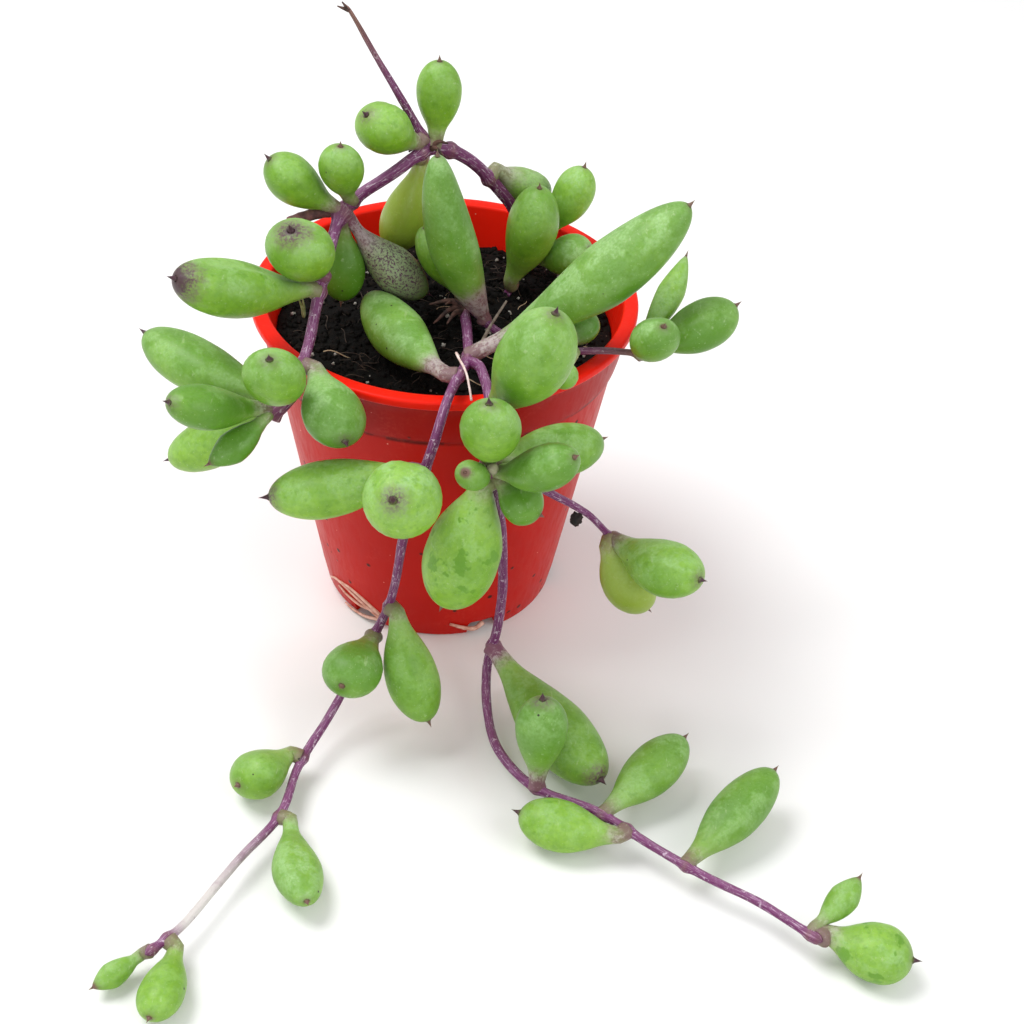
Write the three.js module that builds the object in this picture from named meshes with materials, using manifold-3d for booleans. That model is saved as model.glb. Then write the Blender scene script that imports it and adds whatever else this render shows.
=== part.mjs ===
// A ruby necklace succulent in a small round nursery pot.
// Its purple stems trail over the rim and carry plump, pointed, spindle-shaped leaves.
// Sizes are in millimetres and angles in degrees. The pot stands on z = 0, round the z axis.

import * as THREE from "three";
import { mergeVertices } from "three/addons/utils/BufferGeometryUtils.js";
import Module from "manifold-3d";

// The pot.
const potHeight = 50;
const rimRadius = 27.5;
const footRadius = 17.6;
const potWall = 0.9;
const baseThickness = 1.2;
const lipWidth = 1.3;
const lipHeight = 1.4;
const lipRound = 0.35;
const collarHeight = 8.5;
const collarStep = 0.5;
const potSides = 48;

// The drainage notches round the pot's foot.
const notchCount = 6;
const notchHeading = 236;
const notchWidth = 5;
const notchHeight = 2.6;
const notchDepth = 4.4;

// The soil.
const soilDepthBelowRim = 5.6;
const soilMound = 0.5;
const soilShoulder = 0.6;

// The plant. Every leaf's width is multiplied by leafFullness.
const archStemRadius = 0.95;
const strandRadius = 0.75;
const sideStemRadius = 0.6;
const dryStemRadius = 0.5;
const stemSides = 8;
const stemStepLength = 3;
const stalkRadius = 0.7;
const leafFullness = 1;
const leafWidest = 0.56;
const leafFlatness = 0.84;
const leafSag = 0.05;
const leafBluntness = 0.75;
const leafSides = 10;

// The air kept between pieces that meet.
const clearance = 0.3;

// Vertices closer than this are one vertex.
const weldDistance = 1e-4;

const finishes = {
  pot: { color: 0xb8281c, roughness: 0.42, metalness: 0 },
  soil: { color: 0x1d1713, roughness: 0.95, metalness: 0 },
  stem: { color: 0x6a2f63, roughness: 0.5, metalness: 0 },
  dryStem: { color: 0x6e4a35, roughness: 0.85, metalness: 0 },
  leaf: { color: 0x7fae4a, roughness: 0.45, metalness: 0 },
};

const wasm = await Module();
wasm.setup();

function toManifold(geometry) {
  const bare = geometry.clone();
  bare.deleteAttribute("normal");
  bare.deleteAttribute("uv");
  const merged = mergeVertices(bare, weldDistance);
  const mesh = new wasm.Mesh({
    numProp: 3,
    vertProperties: new Float32Array(merged.attributes.position.array),
    triVerts: new Uint32Array(merged.index.array),
  });
  mesh.merge();
  return new wasm.Manifold(mesh);
}

function fromManifold(solid) {
  const mesh = solid.getMesh();
  const geometry = new THREE.BufferGeometry();
  geometry.setAttribute("position", new THREE.BufferAttribute(mesh.vertProperties, 3));
  geometry.setIndex(new THREE.BufferAttribute(mesh.triVerts, 1));
  geometry.computeVertexNormals();
  return geometry;
}

function named(name, geometry, finish) {
  const mesh = new THREE.Mesh(geometry, new THREE.MeshStandardMaterial(finishes[finish]));
  mesh.name = name;
  return mesh;
}

// A solid of revolution round the z axis from [radius, height] points.
function turned(points, sides) {
  const profile = points.map(([radius, height]) => new THREE.Vector2(radius, height));
  return new THREE.LatheGeometry(profile, sides).rotateX(Math.PI / 2);
}

// The pot's outer wall leans out evenly from the foot to the rim, under the lip.
const wallTopRadius = rimRadius - lipWidth;
const wallLean = (wallTopRadius - footRadius) / potHeight;
const outerWall = (height) => footRadius + wallLean * height;
const innerWall = (height) => outerWall(height) - potWall;

function potGeometry() {
  const lipUnderside = potHeight - lipHeight;
  const collarUnderside = potHeight - collarHeight;
  const body = turned(
    [
      [0, 0],
      [footRadius, 0],
      [outerWall(collarUnderside), collarUnderside],
      [outerWall(collarUnderside) + collarStep, collarUnderside + collarStep],
      [outerWall(lipUnderside) + collarStep, lipUnderside],
      [rimRadius - lipRound, lipUnderside],
      [rimRadius, lipUnderside + lipRound],
      [rimRadius, potHeight - lipRound],
      [rimRadius - lipRound, potHeight],
      [innerWall(potHeight) + lipRound, potHeight],
      [innerWall(potHeight), potHeight - lipRound],
      [innerWall(baseThickness), baseThickness],
      [0, baseThickness],
    ],
    potSides,
  );
  let pot = toManifold(body);
  const notchBox = new THREE.BoxGeometry(notchDepth * 2, notchWidth, notchHeight * 2);
  for (let index = 0; index < notchCount; index += 1) {
    const heading = notchHeading + (360 / notchCount) * index;
    const notch = notchBox.clone().translate(outerWall(0), 0, 0);
    notch.rotateZ(THREE.MathUtils.degToRad(heading));
    pot = pot.subtract(toManifold(notch));
  }
  return fromManifold(pot);
}

// The soil fills the pot to just below the rim and rises a little in the middle.
const soilTop = potHeight - soilDepthBelowRim;

function soilGeometry() {
  const bottom = baseThickness + clearance;
  const bottomRadius = innerWall(bottom) - clearance;
  const topRadius = innerWall(soilTop) - clearance;
  return turned(
    [
      [0, bottom],
      [bottomRadius, bottom],
      [topRadius, soilTop],
      [topRadius * soilShoulder, soilTop + soilMound * soilShoulder],
      [0, soilTop + soilMound],
    ],
    potSides,
  );
}

// Stations a stem passes. Plan positions are in rim radii, so the plant spreads with its pot.
const station = (x, y, height) => new THREE.Vector3(x * rimRadius, y * rimRadius, height);
const onSoil = (x, y, lift) => station(x, y, soilTop + lift);
const aboveRim = (x, y, rise) => station(x, y, potHeight + rise);
const besidePot = (x, y, share) => station(x, y, potHeight * share);
const onFloor = (x, y, lift) => station(x, y, lift);

// A stem is a round tube swept through its stations. The leaves that grow on it are added later.
function stem(name, radius, finish, stations) {
  const path = new THREE.CatmullRomCurve3(stations);
  const circle = new THREE.Shape();
  circle.absarc(0, 0, radius, 0, Math.PI * 2);
  const geometry = new THREE.ExtrudeGeometry(circle, {
    steps: Math.ceil(path.getLength() / stemStepLength),
    curveSegments: stemSides / 2,
    bevelEnabled: false,
    extrudePath: path,
  });
  const group = new THREE.Group();
  group.name = `${name}_shoot`;
  group.add(named(name, geometry, finish));
  return { group, path, radius };
}

// A leaf along +x: a slim stalk at the origin, a small point at the end, and widest at `widest`,
// a share of its length. Its flat side faces up and its middle sags under its ends.
const leafStations = [0.14, 0.28, 0.43, 0.58, 0.73, 0.86, 0.95];

function leafGeometry(length, width, widest) {
  const halfWidth = (width * leafFullness) / 2;
  const skew = Math.log(0.5) / Math.log(widest);
  const profile = [new THREE.Vector2(0, 0)];
  profile.push(new THREE.Vector2(stalkRadius, 0));
  for (const along of leafStations) {
    const swell = Math.sin(Math.PI * along ** skew) ** leafBluntness;
    const radius = Math.max(stalkRadius, halfWidth * swell);
    profile.push(new THREE.Vector2(radius, length * along));
  }
  profile.push(new THREE.Vector2(0, length));
  const geometry = new THREE.LatheGeometry(profile, leafSides).rotateZ(-Math.PI / 2);
  geometry.scale(1, 1, leafFlatness);
  const position = geometry.attributes.position;
  for (let index = 0; index < position.count; index += 1) {
    const along = position.getX(index) / length;
    const sag = leafSag * length * 4 * along * (1 - along);
    position.setZ(index, position.getZ(index) - sag);
  }
  return geometry;
}

// Adds a leaf to a stem. `at` is its share of the way along the stem. `heading` turns it round
// the vertical from +x, and `rise` lifts its tip above level. `reach` is how far its tip is from
// the middle of the stem.
function addLeaf(shoot, name, { at, heading, rise, reach, width, widest = leafWidest }) {
  const rotation = new THREE.Euler(
    0,
    -THREE.MathUtils.degToRad(rise),
    THREE.MathUtils.degToRad(heading),
    "ZYX",
  );
  const direction = new THREE.Vector3(1, 0, 0).applyEuler(rotation);
  const tangent = shoot.path.getTangentAt(at);
  const lean = direction.dot(tangent);
  const sideways = direction.clone().addScaledVector(tangent, -lean).normalize();
  const standoff = shoot.radius + stalkRadius * Math.abs(lean) + clearance;
  const mesh = named(name, leafGeometry(reach - standoff, width, widest), "leaf");
  mesh.rotation.copy(rotation);
  mesh.position.copy(shoot.path.getPointAt(at)).addScaledVector(sideways, standoff);
  shoot.group.add(mesh);
}

function addLeaves(shoot, prefix, leaves) {
  leaves.forEach((leaf, index) => addLeaf(shoot, `${prefix}_${index + 1}`, leaf));
}

// The tall stem: up from the soil, over in an arch, and down past the rim on the left.
const archStem = stem("arch_stem", archStemRadius, "stem", [
  onSoil(0.4, 0.6, 1.4),
  aboveRim(0.38, 0.56, 1.5),
  aboveRim(0.315, 0.535, 6.2),
  aboveRim(0.206, 0.473, 10.8),
  aboveRim(0.11, 0.4, 14.6),
  aboveRim(0, 0.335, 17.3),
  aboveRim(-0.11, 0.29, 18),
  aboveRim(-0.3, 0.13, 16),
  aboveRim(-0.51, 0, 12.5),
  aboveRim(-0.57, -0.29, 9.5),
  aboveRim(-0.6, -0.55, 5.8),
  aboveRim(-0.62, -0.84, 3),
  aboveRim(-0.68, -1.02, 0),
  aboveRim(-0.78, -1.05, -2.2),
]);
addLeaves(archStem, "arch_leaf", [
  { at: 0.362, heading: 80, rise: 84, reach: 13.5, width: 6.4 },
  { at: 0.392, heading: -148, rise: 38, reach: 12.5, width: 8.4 },
  { at: 0.387, heading: 160, rise: -72, reach: 18, width: 8.4 },
  { at: 0.544, heading: -100, rise: 72, reach: 12, width: 6.2 },
  { at: 0.571, heading: -170, rise: 42, reach: 14, width: 7.4 },
  { at: 0.581, heading: -95, rise: -82, reach: 14, width: 6.4 },
  { at: 0.567, heading: 10, rise: -48, reach: 19, width: 7.6, widest: 0.64 },
  { at: 0.71, heading: -118, rise: 58, reach: 13.5, width: 9.6 },
  { at: 0.742, heading: -148, rise: 20, reach: 22.5, width: 9 },
  { at: 0.894, heading: -64, rise: -19, reach: 15, width: 8.4 },
  { at: 0.954, heading: -97, rise: 58, reach: 14, width: 8.2 },
  { at: 0.972, heading: 153, rise: 7, reach: 23.5, width: 8 },
  { at: 0.991, heading: -143, rise: 24, reach: 17, width: 6.6 },
  { at: 0.986, heading: 174, rise: -37, reach: 22, width: 8.6 },
  { at: 0.995, heading: -136, rise: -19, reach: 12.5, width: 4.4 },
  { at: 0.22, heading: 42, rise: -34, reach: 15, width: 6.2 },
]);

// The withered tip that stands up from the top of the arch.
const dryStem = stem("dry_stem", dryStemRadius, "dryStem", [
  aboveRim(-0.14, 0.29, 19.6),
  aboveRim(-0.33, 0.29, 29),
  aboveRim(-0.53, 0.29, 38.5),
]);

// The crown stem that creeps over the soil, drops in front of the pot and trails to the left.
const leftStrand = stem("left_strand", strandRadius, "stem", [
  onSoil(0.04, 0.39, 1.8),
  onSoil(0.09, 0.04, 3.2),
  aboveRim(0.13, -0.33, -1),
  aboveRim(0.15, -0.64, 0.3),
  aboveRim(0.11, -0.89, 2),
  aboveRim(0.07, -1.11, 1.8),
  aboveRim(0.02, -1.24, -2.5),
  besidePot(-0.04, -1.27, 0.84),
  besidePot(-0.11, -1.25, 0.66),
  besidePot(-0.18, -1.22, 0.4),
  besidePot(-0.26, -1.25, 0.29),
  besidePot(-0.36, -1.33, 0.18),
  onFloor(-0.47, -1.49, 4.8),
  onFloor(-0.58, -1.78, 3.6),
  onFloor(-0.63, -2.11, 3.4),
  onFloor(-0.78, -2.4, 3.4),
  onFloor(-1, -2.84, 3.6),
  onFloor(-1.11, -3, 4.2),
]);
addLeaves(leftStrand, "crown_leaf", [
  { at: 0.06, heading: -161, rise: 66, reach: 14.5, width: 5.6 },
  { at: 0.25, heading: 118, rise: -6, reach: 29, width: 7.8, widest: 0.62 },
  { at: 0.195, heading: 9, rise: 39, reach: 37, width: 9.8, widest: 0.64 },
]);
addLeaves(leftStrand, "left_strand_leaf", [
  { at: 0.365, heading: -175, rise: -13, reach: 22, width: 8.4 },
  { at: 0.375, heading: -101, rise: 30, reach: 15.5, width: 10.8 },
  { at: 0.58, heading: -106, rise: 5, reach: 13, width: 8.2 },
  { at: 0.54, heading: -56, rise: -54, reach: 18.5, width: 7.8 },
  { at: 0.73, heading: -131, rise: 5, reach: 12, width: 7.8 },
  { at: 0.805, heading: -74, rise: 4, reach: 17.5, width: 6.6, widest: 0.6 },
  { at: 0.995, heading: -136, rise: -4, reach: 9.6, width: 3.2 },
  { at: 0.975, heading: -98, rise: 0, reach: 13, width: 5.8 },
]);

// The short shoot that leans out over the rim on the right.
const rightShoot = stem("right_shoot", sideStemRadius, "stem", [
  aboveRim(0.2, -0.12, -2),
  aboveRim(0.28, -0.27, -1.5),
  aboveRim(0.53, -0.51, 0.5),
  aboveRim(0.81, -0.6, 2.4),
  aboveRim(1.02, -0.56, 1.4),
]);
addLeaves(rightShoot, "right_shoot_leaf", [
  { at: 0.03, heading: -170, rise: 75, reach: 28, width: 8.2, widest: 0.48 },
  { at: 0.6, heading: 60, rise: 20, reach: 8, width: 5 },
  { at: 0.97, heading: -72, rise: 53, reach: 12, width: 6.6 },
  { at: 0.965, heading: 62, rise: 32, reach: 17, width: 4 },
  { at: 0.99, heading: 15, rise: 24, reach: 15.5, width: 7.6 },
]);

// The strand that drops in front of the pot and trails away to the right.
const rightStrand = stem("right_strand", strandRadius, "stem", [
  aboveRim(0.22, -0.8, 2),
  aboveRim(0.26, -1, 3),
  aboveRim(0.28, -1.18, 2),
  aboveRim(0.29, -1.29, -3.5),
  besidePot(0.32, -1.24, 0.82),
  besidePot(0.36, -1.15, 0.66),
  besidePot(0.38, -1.07, 0.44),
  besidePot(0.36, -1.05, 0.24),
  besidePot(0.32, -1.09, 0.12),
  onFloor(0.34, -1.35, 4),
  onFloor(0.42, -1.64, 4),
  onFloor(0.58, -1.85, 4.2),
  onFloor(0.93, -2.03, 4.4),
  onFloor(1.34, -2.33, 4.4),
  onFloor(1.67, -2.51, 4),
  onFloor(1.93, -2.73, 4.6),
]);
addLeaves(rightStrand, "right_strand_leaf", [
  { at: 0.08, heading: -19, rise: 66, reach: 20, width: 10.6 },
  { at: 0.125, heading: -94, rise: 71, reach: 15, width: 7.8 },
  { at: 0.13, heading: 30, rise: -6, reach: 18, width: 7.8 },
  { at: 0.14, heading: -34, rise: 35, reach: 16, width: 7 },
  { at: 0.15, heading: -25, rise: -28, reach: 9, width: 6 },
  { at: 0.14, heading: -121, rise: 36, reach: 7.5, width: 4.6 },
  { at: 0.155, heading: -145, rise: -72, reach: 21.5, width: 10.8, widest: 0.54 },
  { at: 0.44, heading: -53, rise: -8, reach: 28, width: 9.6, widest: 0.6 },
  { at: 0.655, heading: 92, rise: 82, reach: 16, width: 7 },
  { at: 0.765, heading: 168, rise: 2, reach: 16.5, width: 7.2 },
  { at: 0.735, heading: 48, rise: 10, reach: 18, width: 7 },
  { at: 0.84, heading: 50, rise: 10, reach: 20.5, width: 6.9 },
  { at: 0.985, heading: 44, rise: 26, reach: 10.5, width: 4 },
  { at: 0.995, heading: -18, rise: 1, reach: 14, width: 7.8 },
]);

// A side strand that leaves the right strand near the rim.
const sideStrand = stem("side_strand", sideStemRadius, "stem", [
  besidePot(0.39, -1.23, 0.86),
  besidePot(0.49, -1.18, 0.83),
  besidePot(0.63, -1.11, 0.76),
  besidePot(0.78, -1.07, 0.69),
  besidePot(0.91, -1.05, 0.6),
]);
addLeaves(sideStrand, "side_strand_leaf", [
  { at: 0.99, heading: -42, rise: 9, reach: 17, width: 8.2 },
  { at: 0.97, heading: -8, rise: -56, reach: 14.5, width: 7.6 },
]);

// The short upright shoot behind the crown.
const backShoot = stem("back_shoot", sideStemRadius, "stem", [
  onSoil(0.33, 0.34, 1.2),
  aboveRim(0.42, 0.44, -1),
  aboveRim(0.56, 0.62, 2.5),
]);
addLeaves(backShoot, "back_shoot_leaf", [
  { at: 0.05, heading: -4, rise: 78, reach: 18.5, width: 8.6 },
  { at: 0.8, heading: 15, rise: 65, reach: 13.5, width: 6.4 },
  { at: 0.45, heading: -20, rise: 25, reach: 11, width: 7 },
]);

const group = new THREE.Group();
group.name = "potted_ruby_necklace";
group.add(named("pot", potGeometry(), "pot"));
group.add(named("soil", soilGeometry(), "soil"));
for (const shoot of [
  archStem,
  dryStem,
  leftStrand,
  rightShoot,
  rightStrand,
  sideStrand,
  backShoot,
]) {
  group.add(shoot.group);
}

export default group;
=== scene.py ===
"""A ruby necklace succulent in a small red nursery pot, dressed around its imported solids."""

import logging
import math
from dataclasses import dataclass, field
from enum import Enum

import bmesh
import bpy
import numpy as np
from mathutils import Matrix, Vector, noise


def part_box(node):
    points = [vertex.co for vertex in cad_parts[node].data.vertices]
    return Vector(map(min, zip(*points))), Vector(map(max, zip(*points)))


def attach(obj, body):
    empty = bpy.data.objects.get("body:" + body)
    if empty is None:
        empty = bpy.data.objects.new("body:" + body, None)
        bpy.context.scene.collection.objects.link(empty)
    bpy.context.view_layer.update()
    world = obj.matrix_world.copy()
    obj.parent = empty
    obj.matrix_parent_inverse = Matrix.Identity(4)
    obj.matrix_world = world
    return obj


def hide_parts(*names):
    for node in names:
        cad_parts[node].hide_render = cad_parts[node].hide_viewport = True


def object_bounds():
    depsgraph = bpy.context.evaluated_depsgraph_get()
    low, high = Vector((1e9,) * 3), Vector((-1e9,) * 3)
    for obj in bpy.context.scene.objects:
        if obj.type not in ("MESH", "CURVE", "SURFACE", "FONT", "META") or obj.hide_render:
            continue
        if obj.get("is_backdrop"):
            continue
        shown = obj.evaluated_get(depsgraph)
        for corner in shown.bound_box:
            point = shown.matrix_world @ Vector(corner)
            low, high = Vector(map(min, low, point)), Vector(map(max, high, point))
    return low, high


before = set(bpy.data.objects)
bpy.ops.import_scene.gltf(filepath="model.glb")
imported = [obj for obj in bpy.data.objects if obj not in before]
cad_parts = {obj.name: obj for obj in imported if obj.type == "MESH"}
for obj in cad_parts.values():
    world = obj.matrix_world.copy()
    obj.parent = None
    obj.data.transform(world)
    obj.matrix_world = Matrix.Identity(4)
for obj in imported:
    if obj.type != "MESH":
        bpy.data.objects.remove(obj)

LOG = logging.getLogger("ruby_necklace")
MM = 0.001
BODY = "root"
GRAIN_REACH = 6 * MM  # how far below the soil's highest point grains still lie


# Shader building blocks ---------------------------------------------------------------------


class ShaderTree:
    """Adds and links nodes in one shader tree, in the order that they are asked for."""

    def __init__(self, tree: bpy.types.NodeTree) -> None:
        """Starts on a tree.

        Args:
            tree: the node tree of a material or of a node group.
        """
        self.tree = tree

    def add(self, kind: str, values: dict | None = None, **settings: object) -> bpy.types.Node:
        """Adds a node.

        Args:
            kind: the node's class name.
            values: what each input takes: a socket to link, or a plain value.
            settings: properties of the node itself.

        Returns:
            The new node.
        """
        node = self.tree.nodes.new(kind)
        for key, value in settings.items():
            setattr(node, key, value)
        for key, value in (values or {}).items():
            socket = node.inputs[key]
            if isinstance(value, bpy.types.NodeSocket):
                self.tree.links.new(value, socket)
            else:
                socket.default_value = value
        return node

    def math(self, operation: str, first: object, second: object = 0.0) -> bpy.types.NodeSocket:
        """Returns the result of a Math node on two values."""
        node = self.add("ShaderNodeMath", {0: first, 1: second}, operation=operation)
        return node.outputs[0]

    def remap(
        self, value: object, low: float, high: float, to_low: float = 0.0, to_high: float = 1.0
    ) -> bpy.types.NodeSocket:
        """Returns the value moved smoothly from one range to another, and held at its ends.

        Args:
            value: the socket to read.
            low: value that gives to_low.
            high: value that gives to_high.
            to_low: result at the low end.
            to_high: result at the high end.

        Returns:
            The socket of the remapped value.
        """
        values = {"Value": value, "From Min": low, "From Max": high, "To Min": to_low, "To Max": to_high}
        node = self.add("ShaderNodeMapRange", values, interpolation_type="SMOOTHSTEP")
        return node.outputs["Result"]

    def mix(self, factor: object, first: object, second: object) -> bpy.types.NodeSocket:
        """Returns a blend of two colours.

        Args:
            factor: share of the second colour, a number or a socket.
            first: colour at 0.
            second: colour at 1.

        Returns:
            The socket of the blended colour.
        """
        node = self.add("ShaderNodeMix", {"Factor": factor}, data_type="RGBA")
        for index, value in ((6, first), (7, second)):
            socket = node.inputs[index]
            if isinstance(value, bpy.types.NodeSocket):
                self.tree.links.new(value, socket)
            else:
                socket.default_value = value
        return node.outputs[2]

    def noise(
        self, vector: object, scale: float, detail: float = 3.0, rough: float = 0.55
    ) -> bpy.types.NodeSocket:
        """Returns the grey value of a Noise Texture.

        Args:
            vector: the coordinates.
            scale: size of the pattern; larger is finer.
            detail: number of finer layers.
            rough: strength of the finer layers.

        Returns:
            The socket of the value.
        """
        values = {"Vector": vector, "Scale": scale, "Detail": detail, "Roughness": rough}
        return self.add("ShaderNodeTexNoise", values).outputs["Fac"]

    def attribute(self, name: str) -> bpy.types.NodeSocket:
        """Returns a piece's own number of that name."""
        return self.add("ShaderNodeAttribute", attribute_name=name).outputs["Fac"]

    def group(self, tree: bpy.types.NodeTree, values: dict) -> bpy.types.Node:
        """Adds a node group and fills its inputs.

        Args:
            tree: the node group.
            values: a number, colour or socket for each input, by its name.

        Returns:
            The group node.
        """
        node = self.tree.nodes.new("ShaderNodeGroup")
        node.node_tree = tree
        for key, value in values.items():
            socket = node.inputs[key]
            if isinstance(value, bpy.types.NodeSocket):
                self.tree.links.new(value, socket)
            else:
                socket.default_value = value
        return node


Colour = tuple[float, float, float, float]


def colour(red: float, green: float, blue: float) -> Colour:
    """Returns an opaque linear colour."""
    return (red, green, blue, 1.0)


def new_group(name: str, inputs: dict[str, str], outputs: dict[str, str]) -> tuple[
    bpy.types.NodeTree, ShaderTree, bpy.types.Node, bpy.types.Node
]:
    """Starts a shader node group with named sockets.

    Args:
        name: the group's name.
        inputs: each input's name and socket class.
        outputs: each output's name and socket class.

    Returns:
        The tree, its builder, the Group Input node and the Group Output node.
    """
    tree = bpy.data.node_groups.new(name, "ShaderNodeTree")
    for label, kind in inputs.items():
        tree.interface.new_socket(label, in_out="INPUT", socket_type=kind)
    for label, kind in outputs.items():
        tree.interface.new_socket(label, in_out="OUTPUT", socket_type=kind)
    build = ShaderTree(tree)
    return tree, build, build.add("NodeGroupInput"), build.add("NodeGroupOutput")


FLOAT, COLOUR, VECTOR = "NodeSocketFloat", "NodeSocketColor", "NodeSocketVector"


class SharedEffects:
    """The node groups that more than one finish uses."""

    def __init__(self) -> None:
        """Builds the three groups."""
        self.bloom = self._bloom_and_painted_top_light()
        self.specks = self._specks()
        self.dust = self._dust()

    @staticmethod
    def _bloom_and_painted_top_light() -> bpy.types.NodeTree:
        """Returns a pale powdery film, rubbed away in patches, that thickens on upper faces as painted top
        light.

        Returns:
            The node group.
        """
        inputs = {"Colour": COLOUR, "Bloom": COLOUR, "Vector": VECTOR, "Amount": FLOAT, "Rubbed": FLOAT}
        tree, build, source, sink = new_group("bloom_and_painted_top_light", inputs, {"Colour": COLOUR, "Cover": FLOAT})
        upward = build.add(
            "ShaderNodeSeparateXYZ", {0: build.add("ShaderNodeNewGeometry").outputs["Normal"]}
        ).outputs["Z"]
        # Painted top light: the film is thickest on faces that point up.
        painted_top_light = build.remap(upward, -0.35, 0.9, 0.12, 1.0)
        grain = build.remap(build.noise(source.outputs["Vector"], 2600, 2, 0.6), 0.32, 0.68, 0.55, 1.0)
        patch = build.noise(source.outputs["Vector"], 260, 3, 0.6)
        kept = build.remap(patch, 0.38, 0.56)
        kept = build.math("MAXIMUM", kept, build.math("SUBTRACT", 1.0, source.outputs["Rubbed"]))
        cover = build.math(
            "MULTIPLY", build.math("MULTIPLY", painted_top_light, grain),
            build.math("MULTIPLY", kept, source.outputs["Amount"]),
        )
        build.tree.links.new(
            build.mix(cover, source.outputs["Colour"], source.outputs["Bloom"]), sink.inputs["Colour"]
        )
        build.tree.links.new(cover, sink.inputs["Cover"])
        return tree

    @staticmethod
    def _specks() -> bpy.types.NodeTree:
        """Returns small round specks of one colour scattered over another.

        Returns:
            The node group.
        """
        inputs = {
            "Colour": COLOUR, "Speck": COLOUR, "Vector": VECTOR, "Scale": FLOAT, "Size": FLOAT, "Share": FLOAT
        }
        tree, build, source, sink = new_group("specks", inputs, {"Colour": COLOUR, "Cover": FLOAT})
        values = {"Vector": source.outputs["Vector"], "Scale": source.outputs["Scale"]}
        cells = build.add("ShaderNodeTexVoronoi", values, feature="F1")
        pick = build.add("ShaderNodeSeparateColor", {0: cells.outputs["Color"]}).outputs[0]
        chosen = build.math("LESS_THAN", pick, source.outputs["Share"])
        edge = build.math(
            "SUBTRACT", 1.0, build.math("DIVIDE", cells.outputs["Distance"], source.outputs["Size"])
        )
        round_spot = build.remap(edge, 0.0, 0.45)
        cover = build.math("MULTIPLY", chosen, round_spot)
        build.tree.links.new(
            build.mix(cover, source.outputs["Colour"], source.outputs["Speck"]), sink.inputs["Colour"]
        )
        build.tree.links.new(cover, sink.inputs["Cover"])
        return tree

    @staticmethod
    def _dust() -> bpy.types.NodeTree:
        """Returns dry soil dust in cloudy patches, thicker where Amount is high.

        Returns:
            The node group.
        """
        inputs = {"Colour": COLOUR, "Dust": COLOUR, "Vector": VECTOR, "Amount": FLOAT}
        tree, build, source, sink = new_group("dry_dust", inputs, {"Colour": COLOUR, "Cover": FLOAT})
        cloud = build.remap(build.noise(source.outputs["Vector"], 140, 5, 0.65), 0.46, 0.72)
        fine = build.remap(build.noise(source.outputs["Vector"], 1900, 2, 0.6), 0.4, 0.7)
        cover = build.math("MULTIPLY", build.math("MULTIPLY", cloud, fine), source.outputs["Amount"])
        build.tree.links.new(
            build.mix(cover, source.outputs["Colour"], source.outputs["Dust"]), sink.inputs["Colour"]
        )
        build.tree.links.new(cover, sink.inputs["Cover"])
        return tree


def start_material(name: str) -> tuple[bpy.types.Material, ShaderTree, bpy.types.Node, bpy.types.NodeSocket]:
    """Starts a node material.

    Args:
        name: the material's name.

    Returns:
        The material, its builder, its Principled shader and its object coordinates.
    """
    material = bpy.data.materials.new(name)
    material.use_nodes = True
    build = ShaderTree(material.node_tree)
    shader = material.node_tree.nodes["Principled BSDF"]
    place = build.add("ShaderNodeTexCoord").outputs["Object"]
    return material, build, shader, place


def add_bump(
    build: ShaderTree, shader: bpy.types.Node, height: bpy.types.NodeSocket, strength: float, depth: float
) -> None:
    """Joins a height to the shader's normal through a Bump node.

    Args:
        build: the material under construction.
        shader: the shader whose normal is bent.
        height: the socket of the height.
        strength: how strongly the bumps show.
        depth: the height in metres that a value of one stands for.
    """
    bump = build.add("ShaderNodeBump", {"Height": height, "Strength": strength, "Distance": depth})
    build.tree.links.new(bump.outputs["Normal"], shader.inputs["Normal"])


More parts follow.
